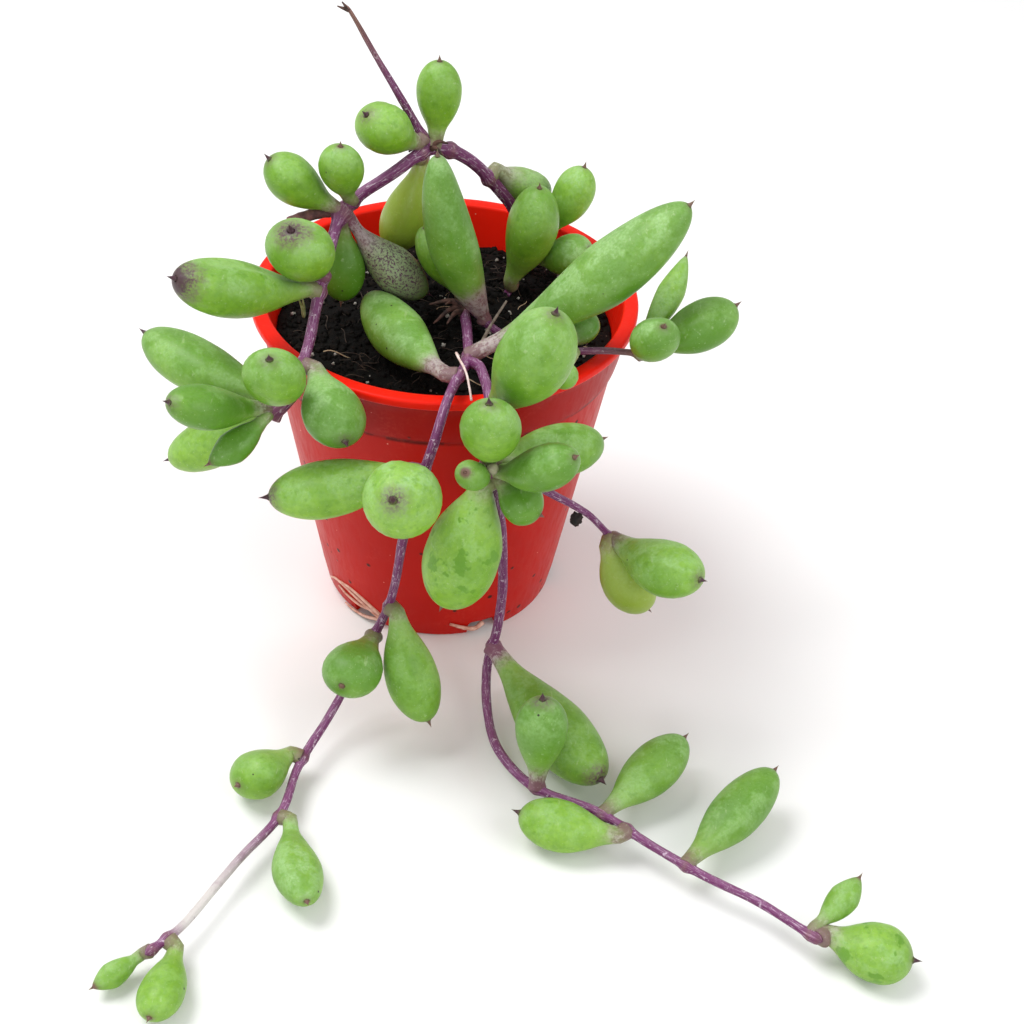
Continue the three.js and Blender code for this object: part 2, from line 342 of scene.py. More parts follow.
@dataclass(frozen=True)
class LeafSkin:
    """The waxy green skin of a leaf: bloom, thicker on upper faces as painted top light, clear green below,
    purple at its ends.
    """

    deep: Colour = colour(0.085, 0.23, 0.01)
    fresh: Colour = colour(0.24, 0.46, 0.024)
    bloom: Colour = colour(0.32, 0.53, 0.21)
    stalk: Colour = colour(0.2, 0.06, 0.125)
    stalk_bloom: Colour = colour(0.47, 0.36, 0.4)
    blush: Colour = colour(0.12, 0.04, 0.075)
    blush_core: Colour = colour(0.06, 0.016, 0.038)
    point: Colour = colour(0.16, 0.085, 0.065)
    dark_point: Colour = colour(0.06, 0.02, 0.034)

    def build(self, effects: SharedEffects) -> bpy.types.Material:
        """Returns the leaf material.

        Args:
            effects: the node groups that the materials share.

        Returns:
            The material, with its nodes linked.
        """
        material, build, shader, place = start_material("leaf_skin")
        skin, cover = self._green(effects, build, place)
        skin = self._purple(build, place, skin)
        grit = build.group(
            effects.specks,
            {
                "Colour": skin,
                "Speck": colour(0.03, 0.022, 0.016),
                "Vector": place,
                "Scale": 560.0,
                "Size": 0.12,
                "Share": build.attribute("grit"),
            },
        )
        build.tree.links.new(grit.outputs["Colour"], shader.inputs["Base Color"])
        build.tree.links.new(build.remap(cover, 0.0, 0.7, 0.36, 0.6), shader.inputs["Roughness"])
        dimples = build.noise(place, 300, 2, 0.5)
        scuffs = build.remap(build.noise(place, 1300, 4, 0.65), 0.55, 0.7)
        fine = build.noise(place, 3000, 2, 0.6)
        height = build.math("ADD", build.math("MULTIPLY", fine, 0.12), build.math("MULTIPLY", scuffs, 0.16))
        add_bump(build, shader, build.math("ADD", height, dimples), 0.4, 0.4 * MM)
        shader.inputs["Subsurface Weight"].default_value = 0.12
        shader.inputs["Subsurface Radius"].default_value = (0.4, 1.0, 0.15)
        shader.inputs["Subsurface Scale"].default_value = 1.2 * MM
        shader.inputs["Specular IOR Level"].default_value = 0.35
        return material

    def _green(
        self, effects: SharedEffects, build: ShaderTree, place: bpy.types.NodeSocket
    ) -> tuple[bpy.types.NodeSocket, bpy.types.NodeSocket]:
        """Mixes the green flesh, its clear patches and the bloom; a low tone gives painted shade.

        Args:
            effects: the shared node groups.
            build: the material's builder.
            place: the object coordinates.

        Returns:
            The colour, and how thick the bloom is.
        """
        # Random tone by noise, and painted shade where the leaf's tone is low.
        shade = build.math(
            "ADD", build.math("MULTIPLY", build.noise(place, 130, 3, 0.5), 0.9),
            build.math("SUBTRACT", build.attribute("tone"), 0.45),
        )
        base = build.mix(build.remap(shade, 0.2, 0.85), self.deep, self.fresh)
        mottle = build.noise(place, 1100, 4, 0.6)
        base = build.mix(build.remap(mottle, 0.35, 0.65, 0.0, 0.35), base, self.deep)
        ends = build.remap(build.attribute("along_share"), 0.42, 0.04, 0.0, 0.6)
        base = build.mix(ends, base, colour(0.3, 0.46, 0.1))
        film = build.group(
            effects.bloom,
            {
                "Colour": base,
                "Bloom": self.bloom,
                "Vector": place,
                "Amount": build.attribute("bloom"),
                "Rubbed": 0.6,
            },
        )
        freckle = build.remap(build.noise(place, 900, 3, 0.6), 0.56, 0.7, 0.0, 0.35)
        freckled = build.mix(freckle, film.outputs["Colour"], self.deep)
        specks = {"Speck": colour(0.33, 0.5, 0.17), "Vector": place}
        pale = build.group(
            effects.specks, {"Colour": freckled, "Scale": 3600.0, "Size": 0.22, "Share": 0.13, **specks}
        )
        spots = build.group(
            effects.specks,
            {"Colour": pale.outputs["Colour"], "Scale": 1700.0, "Size": 0.1, "Share": 0.025, **specks},
        )
        scratch_place = build.add(
            "ShaderNodeMapping", {"Vector": place, "Rotation": (0.4, 0.5, 0.7), "Scale": (1.0, 0.12, 1.0)}
        ).outputs[0]
        scratch = build.remap(build.noise(scratch_place, 1700, 3, 0.6), 0.62, 0.72, 0.0, 0.35)
        skin = build.mix(scratch, spots.outputs["Colour"], colour(0.42, 0.56, 0.27))
        window = build.math(
            "MULTIPLY", build.remap(build.noise(place, 330, 3, 0.6), 0.56, 0.61), build.attribute("windows")
        )
        skin = build.mix(window, skin, colour(0.1, 0.27, 0.01))
        skin = build.mix(
            build.math("MULTIPLY", build.attribute("yellow"), 0.6), skin, colour(0.36, 0.42, 0.05)
        )
        return skin, film.outputs["Cover"]

    def _purple(
        self, build: ShaderTree, place: bpy.types.NodeSocket, skin: bpy.types.NodeSocket
    ) -> bpy.types.NodeSocket:
        """Lays the purple of the stalk, the freckles, the blush and the hard point over the skin.

        Args:
            build: the material under construction.
            place: coordinates that the patterns follow.
            skin: colour of the skin below.

        Returns:
            The socket of the coloured skin.
        """
        root = build.attribute("from_root")
        ragged = build.math("SUBTRACT", build.noise(place, 900, 3, 0.6), 0.5)
        stalk_edge = build.math(
            "SUBTRACT", build.attribute("stalk_reach"),
            build.math("ADD", root, build.math("MULTIPLY", ragged, 3.0 * MM)),
        )
        stalk = build.math(
            "MULTIPLY", build.remap(stalk_edge, -1.6 * MM, 2.0 * MM), build.attribute("stalk_tint")
        )
        lengthwise = build.add(
            "ShaderNodeCombineXYZ",
            {
                "X": build.math("MULTIPLY", root, 700.0),
                "Y": build.math("MULTIPLY", build.attribute("around"), 9.0),
                "Z": build.attribute("tone"),
            },
        ).outputs[0]
        fleck = build.math(
            "ADD", build.math("MULTIPLY", build.noise(place, 2000, 4, 0.7), 0.6),
            build.math("MULTIPLY", build.noise(lengthwise, 1.0, 3, 0.6), 0.4),
        )
        old_end = build.remap(root, 2.6 * MM, 0.3 * MM, 0.0, 0.16)
        mottled = build.mix(
            build.remap(build.math("ADD", fleck, old_end), 0.43, 0.62), self.stalk_bloom, self.stalk
        )
        skin = build.mix(stalk, skin, mottled)
        share = build.attribute("along_share")
        middle = build.math("MULTIPLY", build.remap(share, 0.12, 0.42), build.remap(share, 0.97, 0.7))
        dusted = build.math("MULTIPLY", build.attribute("freckles"), middle)
        skin = build.mix(build.math("MULTIPLY", dusted, 0.55), skin, colour(0.38, 0.37, 0.3))
        speckle = build.math("MULTIPLY", build.remap(build.noise(place, 3000, 4, 0.72), 0.47, 0.58), dusted)
        skin = build.mix(speckle, skin, colour(0.11, 0.05, 0.085))
        tip = build.attribute("from_tip")
        blush = build.attribute("blush")
        reach = build.math("ADD", build.math("MULTIPLY", blush, 3.2 * MM), 1.2 * MM)
        jitter = build.math("MULTIPLY", build.math("MULTIPLY", ragged, blush), 2.6 * MM)
        near = build.math("SUBTRACT", reach, build.math("ADD", tip, jitter))
        deep_in = build.remap(near, 0.6 * MM, 2.6 * MM)
        freckle = build.math(
            "MAXIMUM", build.remap(build.noise(place, 2600, 3, 0.65), 0.4, 0.6, 0.5, 1.0), deep_in
        )
        flushed = build.math("MULTIPLY", build.remap(near, -1.3 * MM, 1.9 * MM, 0.0, 0.95), freckle)
        skin = build.mix(flushed, skin, build.mix(deep_in, self.blush, self.blush_core))
        point = build.mix(build.remap(blush, 0.08, 0.3), self.point, self.dark_point)
        return build.mix(build.remap(tip, 1.55 * MM, 0.85 * MM), skin, point)


@dataclass(frozen=True)
class StemSkin:
    """Purple stem skin with paler streaks and scuffs, lilac on upward faces as painted top light, brown and
    woody where it is old.
    """

    purple: Colour = colour(0.14, 0.017, 0.1)
    lilac: Colour = colour(0.42, 0.2, 0.38)
    chalk: Colour = colour(0.68, 0.55, 0.66)
    brown: Colour = colour(0.12, 0.05, 0.045)
    husk: Colour = colour(0.66, 0.62, 0.6)

    def build(self, effects: SharedEffects) -> bpy.types.Material:
        """Returns the stem material.

        Args:
            effects: the node groups that the materials share.

        Returns:
            The material, with its nodes linked.
        """
        material, build, shader, place = start_material("stem_skin")
        along = build.attribute("along_m")
        around = build.attribute("around")
        lengthwise = build.add(
            "ShaderNodeCombineXYZ",
            {
                "X": build.math("MULTIPLY", along, 260.0),
                "Y": build.math("MULTIPLY", around, 9.0),
                "Z": build.attribute("seed"),
            },
        ).outputs[0]
        streak = build.noise(lengthwise, 1.0, 4, 0.6)
        base = build.mix(build.remap(streak, 0.5, 0.8), self.purple, self.lilac)
        # Painted top light: upward faces turn towards lilac.
        upward = build.add(
            "ShaderNodeSeparateXYZ", {0: build.add("ShaderNodeNewGeometry").outputs["Normal"]}
        ).outputs["Z"]
        base = build.mix(build.remap(upward, 0.3, 1.0, 0.0, 0.22), base, self.lilac)
        narrow = build.add(
            "ShaderNodeCombineXYZ",
            {
                "X": build.math("MULTIPLY", along, 520.0),
                "Y": build.math("MULTIPLY", around, 16.0),
                "Z": build.math("ADD", build.attribute("seed"), 40.0),
            },
        ).outputs[0]
        flake = build.remap(build.noise(narrow, 1.0, 5, 0.7), 0.55, 0.63, 0.0, 0.75)
        speckle = build.remap(build.noise(place, 1500, 3, 0.65), 0.6, 0.68, 0.0, 0.7)
        worn = build.mix(build.math("MAXIMUM", flake, speckle), base, self.chalk)
        bark = build.mix(build.remap(streak, 0.35, 0.7), self.brown, colour(0.3, 0.16, 0.13))
        aged = build.mix(build.attribute("age"), worn, bark)
        papery = build.math(
            "MULTIPLY", build.attribute("pale"),
            build.remap(build.noise(place, 420, 4, 0.6), 0.3, 0.5, 0.6, 1.0),
        )
        skin = build.mix(papery, aged, self.husk)
        dirt = build.group(
            effects.dust, {"Colour": skin, "Dust": colour(0.1, 0.06, 0.05), "Vector": place, "Amount": 0.3}
        )
        build.tree.links.new(dirt.outputs["Colour"], shader.inputs["Base Color"])
        build.tree.links.new(build.remap(streak, 0.3, 0.8, 0.36, 0.6), shader.inputs["Roughness"])
        height = build.math("ADD", streak, build.math("MULTIPLY", build.noise(place, 1800, 3, 0.6), 0.35))
        add_bump(build, shader, height, 0.6, 0.22 * MM)
        shader.inputs["Specular IOR Level"].default_value = 0.35
        return material


@dataclass(frozen=True)
class PotPlastic:
    """Thin moulded red plastic, a little cloudy and dusty, with soil specks, and painted light and shade on
    its red.
    """

    deep: Colour = colour(0.36, 0.005, 0.003)
    lit_red: Colour = colour(0.86, 0.014, 0.004)

    def build(self, effects: SharedEffects) -> bpy.types.Material:
        """Returns the pot material.

        Args:
            effects: the node groups that the materials share.

        Returns:
            The material, with its nodes linked.
        """
        material, build, shader, place = start_material("pot_plastic")
        base, height = self._red(build, place)
        film = build.group(
            effects.dust, {"Colour": base, "Dust": colour(0.8, 0.12, 0.07), "Vector": place, "Amount": 0.16}
        )
        cluster = build.remap(build.noise(place, 75, 2, 0.5), 0.42, 0.66, 0.25, 2.2)
        low = build.math("MULTIPLY", build.remap(height, 40 * MM, 4 * MM, 0.07, 0.2), cluster)
        grit = build.group(
            effects.specks,
            {
                "Colour": film.outputs["Colour"],
                "Speck": colour(0.06, 0.012, 0.009),
                "Vector": place,
                "Scale": 620.0,
                "Size": 0.3,
                "Share": low,
            },
        )
        pale = build.group(
            effects.specks,
            {
                "Colour": grit.outputs["Colour"],
                "Speck": colour(0.8, 0.3, 0.22),
                "Vector": place,
                "Scale": 980.0,
                "Size": 0.14,
                "Share": 0.015,
            },
        )
        build.tree.links.new(pale.outputs["Colour"], shader.inputs["Base Color"])
        scratch_place = build.add(
            "ShaderNodeMapping", {"Vector": place, "Scale": (1.0, 1.0, 0.12)}
        ).outputs[0]
        scratch = build.noise(scratch_place, 1500, 4, 0.65)
        build.tree.links.new(build.remap(scratch, 0.3, 0.75, 0.3, 0.48), shader.inputs["Roughness"])
        bump = build.math(
            "ADD", build.math("MULTIPLY", grit.outputs["Cover"], 0.8), build.math("MULTIPLY", scratch, 0.25)
        )
        add_bump(build, shader, bump, 0.3, 0.15 * MM)
        shader.inputs["Specular IOR Level"].default_value = 0.1
        shader.inputs["Subsurface Weight"].default_value = 0.15
        shader.inputs["Subsurface Radius"].default_value = (1.0, 0.12, 0.06)
        shader.inputs["Subsurface Scale"].default_value = 1.5 * MM
        return material


    def _red(
        self, build: ShaderTree, place: bpy.types.NodeSocket
    ) -> tuple[bpy.types.NodeSocket, bpy.types.NodeSocket]:
        """Mixes the red: painted shade deep under the lip, painted light on the lip, low on the wall and
        inside, and a painted shadow line at the collar step.

        Args:
            build: the material's builder.
            place: the object coordinates.

        Returns:
            The colour, and the height above the pot's foot.
        """
        cloud = build.math("MULTIPLY", build.noise(place, 55, 3, 0.5), 0.35)
        height = build.add("ShaderNodeSeparateXYZ", {0: place}).outputs["Z"]
        normal = build.add("ShaderNodeNewGeometry").outputs["Normal"]
        outward = build.add(
            "ShaderNodeVectorMath",
            {
                0: place,
                1: build.add(
                    "ShaderNodeVectorMath", {0: normal, 1: (1.0, 1.0, 0.0)}, operation="MULTIPLY"
                ).outputs[0],
            },
            operation="DOT_PRODUCT",
        ).outputs["Value"]
        # Painted light on the lip, inside and a little on the low wall; the band under the lip is left deep
        # as painted shade. Cloud adds random tone.
        wall = build.remap(height, 40.8 * MM, 41.9 * MM, 0.2, 0.0)
        lip = build.remap(height, 48.2 * MM, 49.0 * MM, 0.0, 0.8)
        inside = build.remap(outward, 3.0 * MM, -3.0 * MM)
        lit = build.math("ADD", cloud, build.math("MAXIMUM", build.math("ADD", wall, lip), inside))
        base = build.mix(build.remap(lit, 0.05, 1.0), self.deep, self.lit_red)
        # Painted shadow: a dark broken line along the collar step.
        ring = build.remap(
            build.math("ABSOLUTE", build.math("SUBTRACT", height, 41.55 * MM)), 0.75 * MM, 0.25 * MM
        )
        broken = build.remap(build.noise(place, 260, 4, 0.65), 0.44, 0.54, 0.25, 1.0)
        return build.mix(
            build.math("MULTIPLY", build.math("MULTIPLY", ring, broken), 0.85), base,
            colour(0.09, 0.004, 0.003),
        ), height


@dataclass(frozen=True)
class PeatSoil:
    """Dark damp peat, with browner dry grains."""

    dark: Colour = colour(0.004, 0.0035, 0.003)
    dry: Colour = colour(0.022, 0.015, 0.011)
    name: str = "peat_soil"

    def build(self, effects: SharedEffects) -> bpy.types.Material:
        """Returns the soil material.

        Args:
            effects: the node groups that the materials share.

        Returns:
            The material, with its nodes linked.
        """
        material, build, shader, place = start_material(self.name)
        crumb = build.noise(place, 900, 5, 0.7)
        base = build.mix(build.remap(crumb, 0.5, 0.75), self.dark, self.dry)
        flecks = build.group(
            effects.specks,
            {
                "Colour": base,
                "Speck": colour(0.2, 0.16, 0.12),
                "Vector": place,
                "Scale": 1500.0,
                "Size": 0.22,
                "Share": 0.03,
            },
        )
        build.tree.links.new(flecks.outputs["Colour"], shader.inputs["Base Color"])
        build.tree.links.new(build.remap(crumb, 0.3, 0.7, 0.55, 0.95), shader.inputs["Roughness"])
        add_bump(build, shader, crumb, 0.9, 0.5 * MM)
        shader.inputs["Specular IOR Level"].default_value = 0.12
        return material


@dataclass(frozen=True)
class FibreSkin:
    """Dry plant matter: roots, straw, peat fibres and withered tissue."""

    name: str
    light: Colour
    dark: Colour
    rough: float = 0.8

    def build(self, effects: SharedEffects) -> bpy.types.Material:
        """Returns the fibre material.

        Args:
            effects: the node groups that the materials share.

        Returns:
            The material, with its nodes linked.
        """
        material, build, shader, place = start_material(self.name)
        blotch = build.noise(place, 700, 4, 0.65)
        base = build.mix(build.remap(blotch, 0.35, 0.7), self.light, self.dark)
        film = build.group(effects.dust, {"Colour": base, "Dust": self.dark, "Vector": place, "Amount": 0.6})
        build.tree.links.new(film.outputs["Colour"], shader.inputs["Base Color"])
        shader.inputs["Roughness"].default_value = self.rough
        add_bump(build, shader, build.noise(place, 2400, 3, 0.6), 0.6, 0.12 * MM)
        return material


@dataclass(frozen=True)
class Finishes:
    """Every finish of the object, built once."""

    leaf: bpy.types.Material
    stem: bpy.types.Material
    pot: bpy.types.Material
    soil: bpy.types.Material
    fibre: bpy.types.Material
    root: bpy.types.Material
    straw: bpy.types.Material
    husk: bpy.types.Material
    perlite: bpy.types.Material
    reed: bpy.types.Material
    rootlet: bpy.types.Material
    twig: bpy.types.Material
    bud: bpy.types.Material
    knob: bpy.types.Material
    sprout: bpy.types.Material

    @classmethod
    def make(cls) -> "Finishes":
        """Returns the built finishes.

        Returns:
            Every material that the pieces wear.
        """
        effects = SharedEffects()
        return cls(
            leaf=LeafSkin().build(effects),
            stem=StemSkin().build(effects),
            pot=PotPlastic().build(effects),
            soil=PeatSoil().build(effects),
            fibre=FibreSkin(
                "peat_fibre", colour(0.07, 0.045, 0.03), colour(0.015, 0.01, 0.008)
            ).build(effects),
            root=FibreSkin("root_skin", colour(0.8, 0.5, 0.4), colour(0.55, 0.22, 0.15), 0.55).build(effects),
            straw=FibreSkin(
                "straw_skin", colour(0.55, 0.42, 0.27), colour(0.28, 0.18, 0.1), 0.7
            ).build(effects),
            husk=FibreSkin(
                "withered_skin", colour(0.13, 0.06, 0.045), colour(0.02, 0.01, 0.009), 0.85
            ).build(effects),
            perlite=FibreSkin(
                "perlite_grain", colour(0.5, 0.48, 0.43), colour(0.16, 0.14, 0.12), 0.9
            ).build(effects),
            twig=FibreSkin(
                "twig_skin", colour(0.24, 0.1, 0.1), colour(0.08, 0.03, 0.035), 0.7
            ).build(effects),
            bud=FibreSkin(
                "dead_bud_skin", colour(0.035, 0.016, 0.014), colour(0.006, 0.004, 0.004), 0.8
            ).build(effects),
            knob=FibreSkin(
                "dried_knob_skin", colour(0.34, 0.34, 0.2), colour(0.16, 0.13, 0.09), 0.6
            ).build(effects),
            sprout=FibreSkin(
                "sprout_skin", colour(0.5, 0.58, 0.28), colour(0.24, 0.3, 0.1), 0.5
            ).build(effects),
            reed=FibreSkin(
                "reed_skin", colour(0.3, 0.25, 0.2), colour(0.12, 0.085, 0.065), 0.75
            ).build(effects),
            rootlet=FibreSkin(
                "rootlet_skin", colour(0.9, 0.74, 0.7), colour(0.62, 0.4, 0.36), 0.5
            ).build(effects),
        )


# Mesh building blocks -----------------------------------------------------------------------


def unit(vector: np.ndarray) -> np.ndarray:
    """Returns the vector at length one."""
    return vector / max(float(np.linalg.norm(vector)), 1e-12)


def smooth_curve(knots: np.ndarray, values: np.ndarray, at: np.ndarray) -> np.ndarray:
    """Interpolates with no overshoot between neighbours (monotone cubic).

    Args:
        knots: rising positions.
        values: one row for each knot.
        at: where to read.

    Returns:
        One row for each position in at.
    """
    rows = values.reshape(len(knots), -1).astype(float)
    step = np.diff(knots)[:, None]
    slope = np.diff(rows, axis=0) / step
    tangent = np.vstack([slope[:1], (slope[1:] + slope[:-1]) / 2, slope[-1:]])
    flat = np.vstack(
        [np.zeros_like(slope[:1], bool), slope[1:] * slope[:-1] <= 0, np.zeros_like(slope[:1], bool)]
    )
    tangent[flat] = 0.0
    index = np.clip(np.searchsorted(knots, at, side="right") - 1, 0, len(knots) - 2)
    width = step[index]
    t = ((at - knots[index]) / width[:, 0])[:, None]
    start, end = rows[index], rows[index + 1]
    result = (2 * t**3 - 3 * t**2 + 1) * start + (t**3 - 2 * t**2 + t) * width * tangent[index]
    result += (-2 * t**3 + 3 * t**2) * end + (t**3 - t**2) * width * tangent[index + 1]
    return result.reshape((len(at),) + values.shape[1:])


def chord_lengths(points: np.ndarray) -> np.ndarray:
    """Returns the distance along a line of points, from 0."""
    return np.concatenate([[0.0], np.cumsum(np.linalg.norm(np.diff(points, axis=0), axis=1))])


def curved_line(points: np.ndarray, spacing: float) -> np.ndarray:
    """Returns an evenly spaced smooth line through the points (Catmull-Rom).

    Args:
        points: the points to pass through, one row each.
        spacing: distance between the points of the line.

    Returns:
        The points of the line, one row each.
    """
    ends = np.vstack([2 * points[0] - points[1], points, 2 * points[-1] - points[-2]])
    dense = []
    for before, start, end, after in zip(ends[:-3], ends[1:-2], ends[2:-1], ends[3:]):
        t = np.linspace(0, 1, 12, endpoint=False)[:, None]
        dense.append(
            0.5 * (
                2 * start + (end - before) * t + (
                    2 * before - 5 * start + 4 * end - after
                ) * t**2 + (3 * start - before - 3 * end + after) * t**3
            )
        )
    line = np.vstack(dense + [points[-1:]])
    length = chord_lengths(line)
    count = max(int(round(length[-1] / spacing)), 2) + 1
    even = np.linspace(0, length[-1], count)
    return np.column_stack([np.interp(even, length, line[:, axis]) for axis in range(3)])


def carried_frames(line: np.ndarray, first_side: np.ndarray | None = None) -> tuple[np.ndarray, np.ndarray]:
    """Carries a side direction along a line without twisting it.

    Args:
        line: the points.
        first_side: a direction to start from.

    Returns:
        The side and the up direction at each point.
    """
    tangents = np.gradient(line, axis=0)
    side = np.array([0.3, 0.5, 0.81]) if first_side is None else first_side
    sides, ups = [], []
    for tangent in tangents:
        forward = unit(tangent)
        side = unit(side - forward * side.dot(forward))
        sides.append(side)
        ups.append(np.cross(forward, side))
    return np.array(sides), np.array(ups)


@dataclass
class Skin:
    """A closed tube of rings, with a centre point at each end."""

    line: np.ndarray
    sides: np.ndarray
    ups: np.ndarray
    half_widths: np.ndarray
    half_heights: np.ndarray
    around: int = 16
    crease: float = 0.0

    def make(self, name: str, numbers: dict[str, np.ndarray]) -> bpy.types.Object:
        """Builds the mesh.

        Args:
            name: the piece's name.
            numbers: what each attribute holds at each ring.

        Returns:
            The new object, smooth shaded.
        """
        angle = np.linspace(0, 2 * math.pi, self.around, endpoint=False)
        across, over = np.cos(angle), np.sin(angle)
        groove = self.crease * np.exp(-((across / 0.28) ** 2)) * (over > 0)
        rings = (
            self.line[:, None, :]
            + self.sides[:, None, :] * (self.half_widths[:, None] * across)[:, :, None]
            + self.ups[:, None, :] * (self.half_heights[:, None] * (over - groove))[:, :, None]
        )
        count = len(self.line)
        points = np.vstack([rings.reshape(-1, 3), self.line[:1], self.line[-1:]])
        faces = []
        for ring in range(count - 1):
            for step in range(self.around):
                after = (step + 1) % self.around
                low, high = ring * self.around, (ring + 1) * self.around
                faces.append((low + step, low + after, high + after, high + step))
        last = (count - 1) * self.around
        for step in range(self.around):
            after = (step + 1) % self.around
            faces.append((count * self.around, after, step))
            faces.append((count * self.around + 1, last + step, last + after))
        mesh = bpy.data.meshes.new(name)
        mesh.from_pydata(points.tolist(), [], faces)
        for label, values in numbers.items():
            layer = mesh.attributes.new(label, "FLOAT", "POINT")
            full = np.concatenate([np.repeat(values, self.around), values[:1], values[-1:]])
            layer.data.foreach_set("value", full.astype(np.float32))
        turn = mesh.attributes.new("around", "FLOAT", "POINT")
        ring_turn = np.abs(np.linspace(-1, 1, self.around, endpoint=False))
        turn.data.foreach_set("value", np.concatenate([np.tile(ring_turn, count), [0, 0]]).astype(np.float32))
        return finish_mesh(name, mesh)


def finish_mesh(name: str, mesh: bpy.types.Mesh) -> bpy.types.Object:
    """Turns every face outwards, shades the mesh smooth and puts it in the scene.

    Args:
        name: name of the object.
        mesh: the mesh to use.

    Returns:
        The object that holds the mesh.
    """
    work = bmesh.new()
    work.from_mesh(mesh)
    bmesh.ops.recalc_face_normals(work, faces=work.faces)
    work.to_mesh(mesh)
    work.free()
    mesh.shade_smooth()
    mesh.update()
    piece = bpy.data.objects.new(name, mesh)
    bpy.context.scene.collection.objects.link(piece)
    return piece


def settle(piece: bpy.types.Object, material: bpy.types.Material, slot: str, *nodes: str) -> None:
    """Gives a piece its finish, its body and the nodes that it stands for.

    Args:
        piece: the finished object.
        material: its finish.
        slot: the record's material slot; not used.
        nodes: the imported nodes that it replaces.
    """
    if not piece.data.materials:
        piece.data.materials.append(material)
    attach(piece, BODY)
    if nodes:
        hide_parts(*nodes)
    LOG.info("%s: %d faces", piece.name, len(piece.data.polygons))


class TracedNode:
    """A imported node's merged points and the edges between them."""

    def __init__(self, name: str) -> None:
        """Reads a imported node's mesh and merges its doubled points.

        Args:
            name: the node's name.
        """
        work = bmesh.new()
        work.from_mesh(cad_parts[name].data)
        bmesh.ops.remove_doubles(work, verts=work.verts, dist=1e-7)
        work.verts.ensure_lookup_table()
        self.points = np.array([vert.co[:] for vert in work.verts])
        self.neighbours = [[edge.other_vert(vert).index for edge in vert.link_edges] for vert in work.verts]
        rims = [
            edge
            for edge in work.edges
            if len(edge.link_faces) == 2 and edge.calc_face_angle() > math.radians(68)
        ]
        self.rim_points = {vert.index for edge in rims for vert in edge.verts}
        work.free()

    def rings_from(self, start: set[int]) -> list[np.ndarray]:
        """Returns the rings of points met on the way from a start, nearest first.

        Args:
            start: indices of the points to start at.

        Returns:
            One array of points for each ring.
        """
        seen, rings, edge = set(start), [], set(start)
        while edge:
            rings.append(self.points[sorted(edge)])
            edge = {after for index in edge for after in self.neighbours[index]} - seen
            seen |= edge
        return rings

    def first_rim(self) -> set[int]:
        """Returns the points of one end's rim.

        Returns:
            Indices of the rim points.
        """
        start = min(self.rim_points)
        rim, edge = {start}, [start]
        while edge:
            near = [
                after
                for after in self.neighbours[edge.pop()]
                if after in self.rim_points and after not in rim
            ]
            rim.update(near)
            edge.extend(near)
        return rim


# The plant ----------------------------------------------------------------------------------


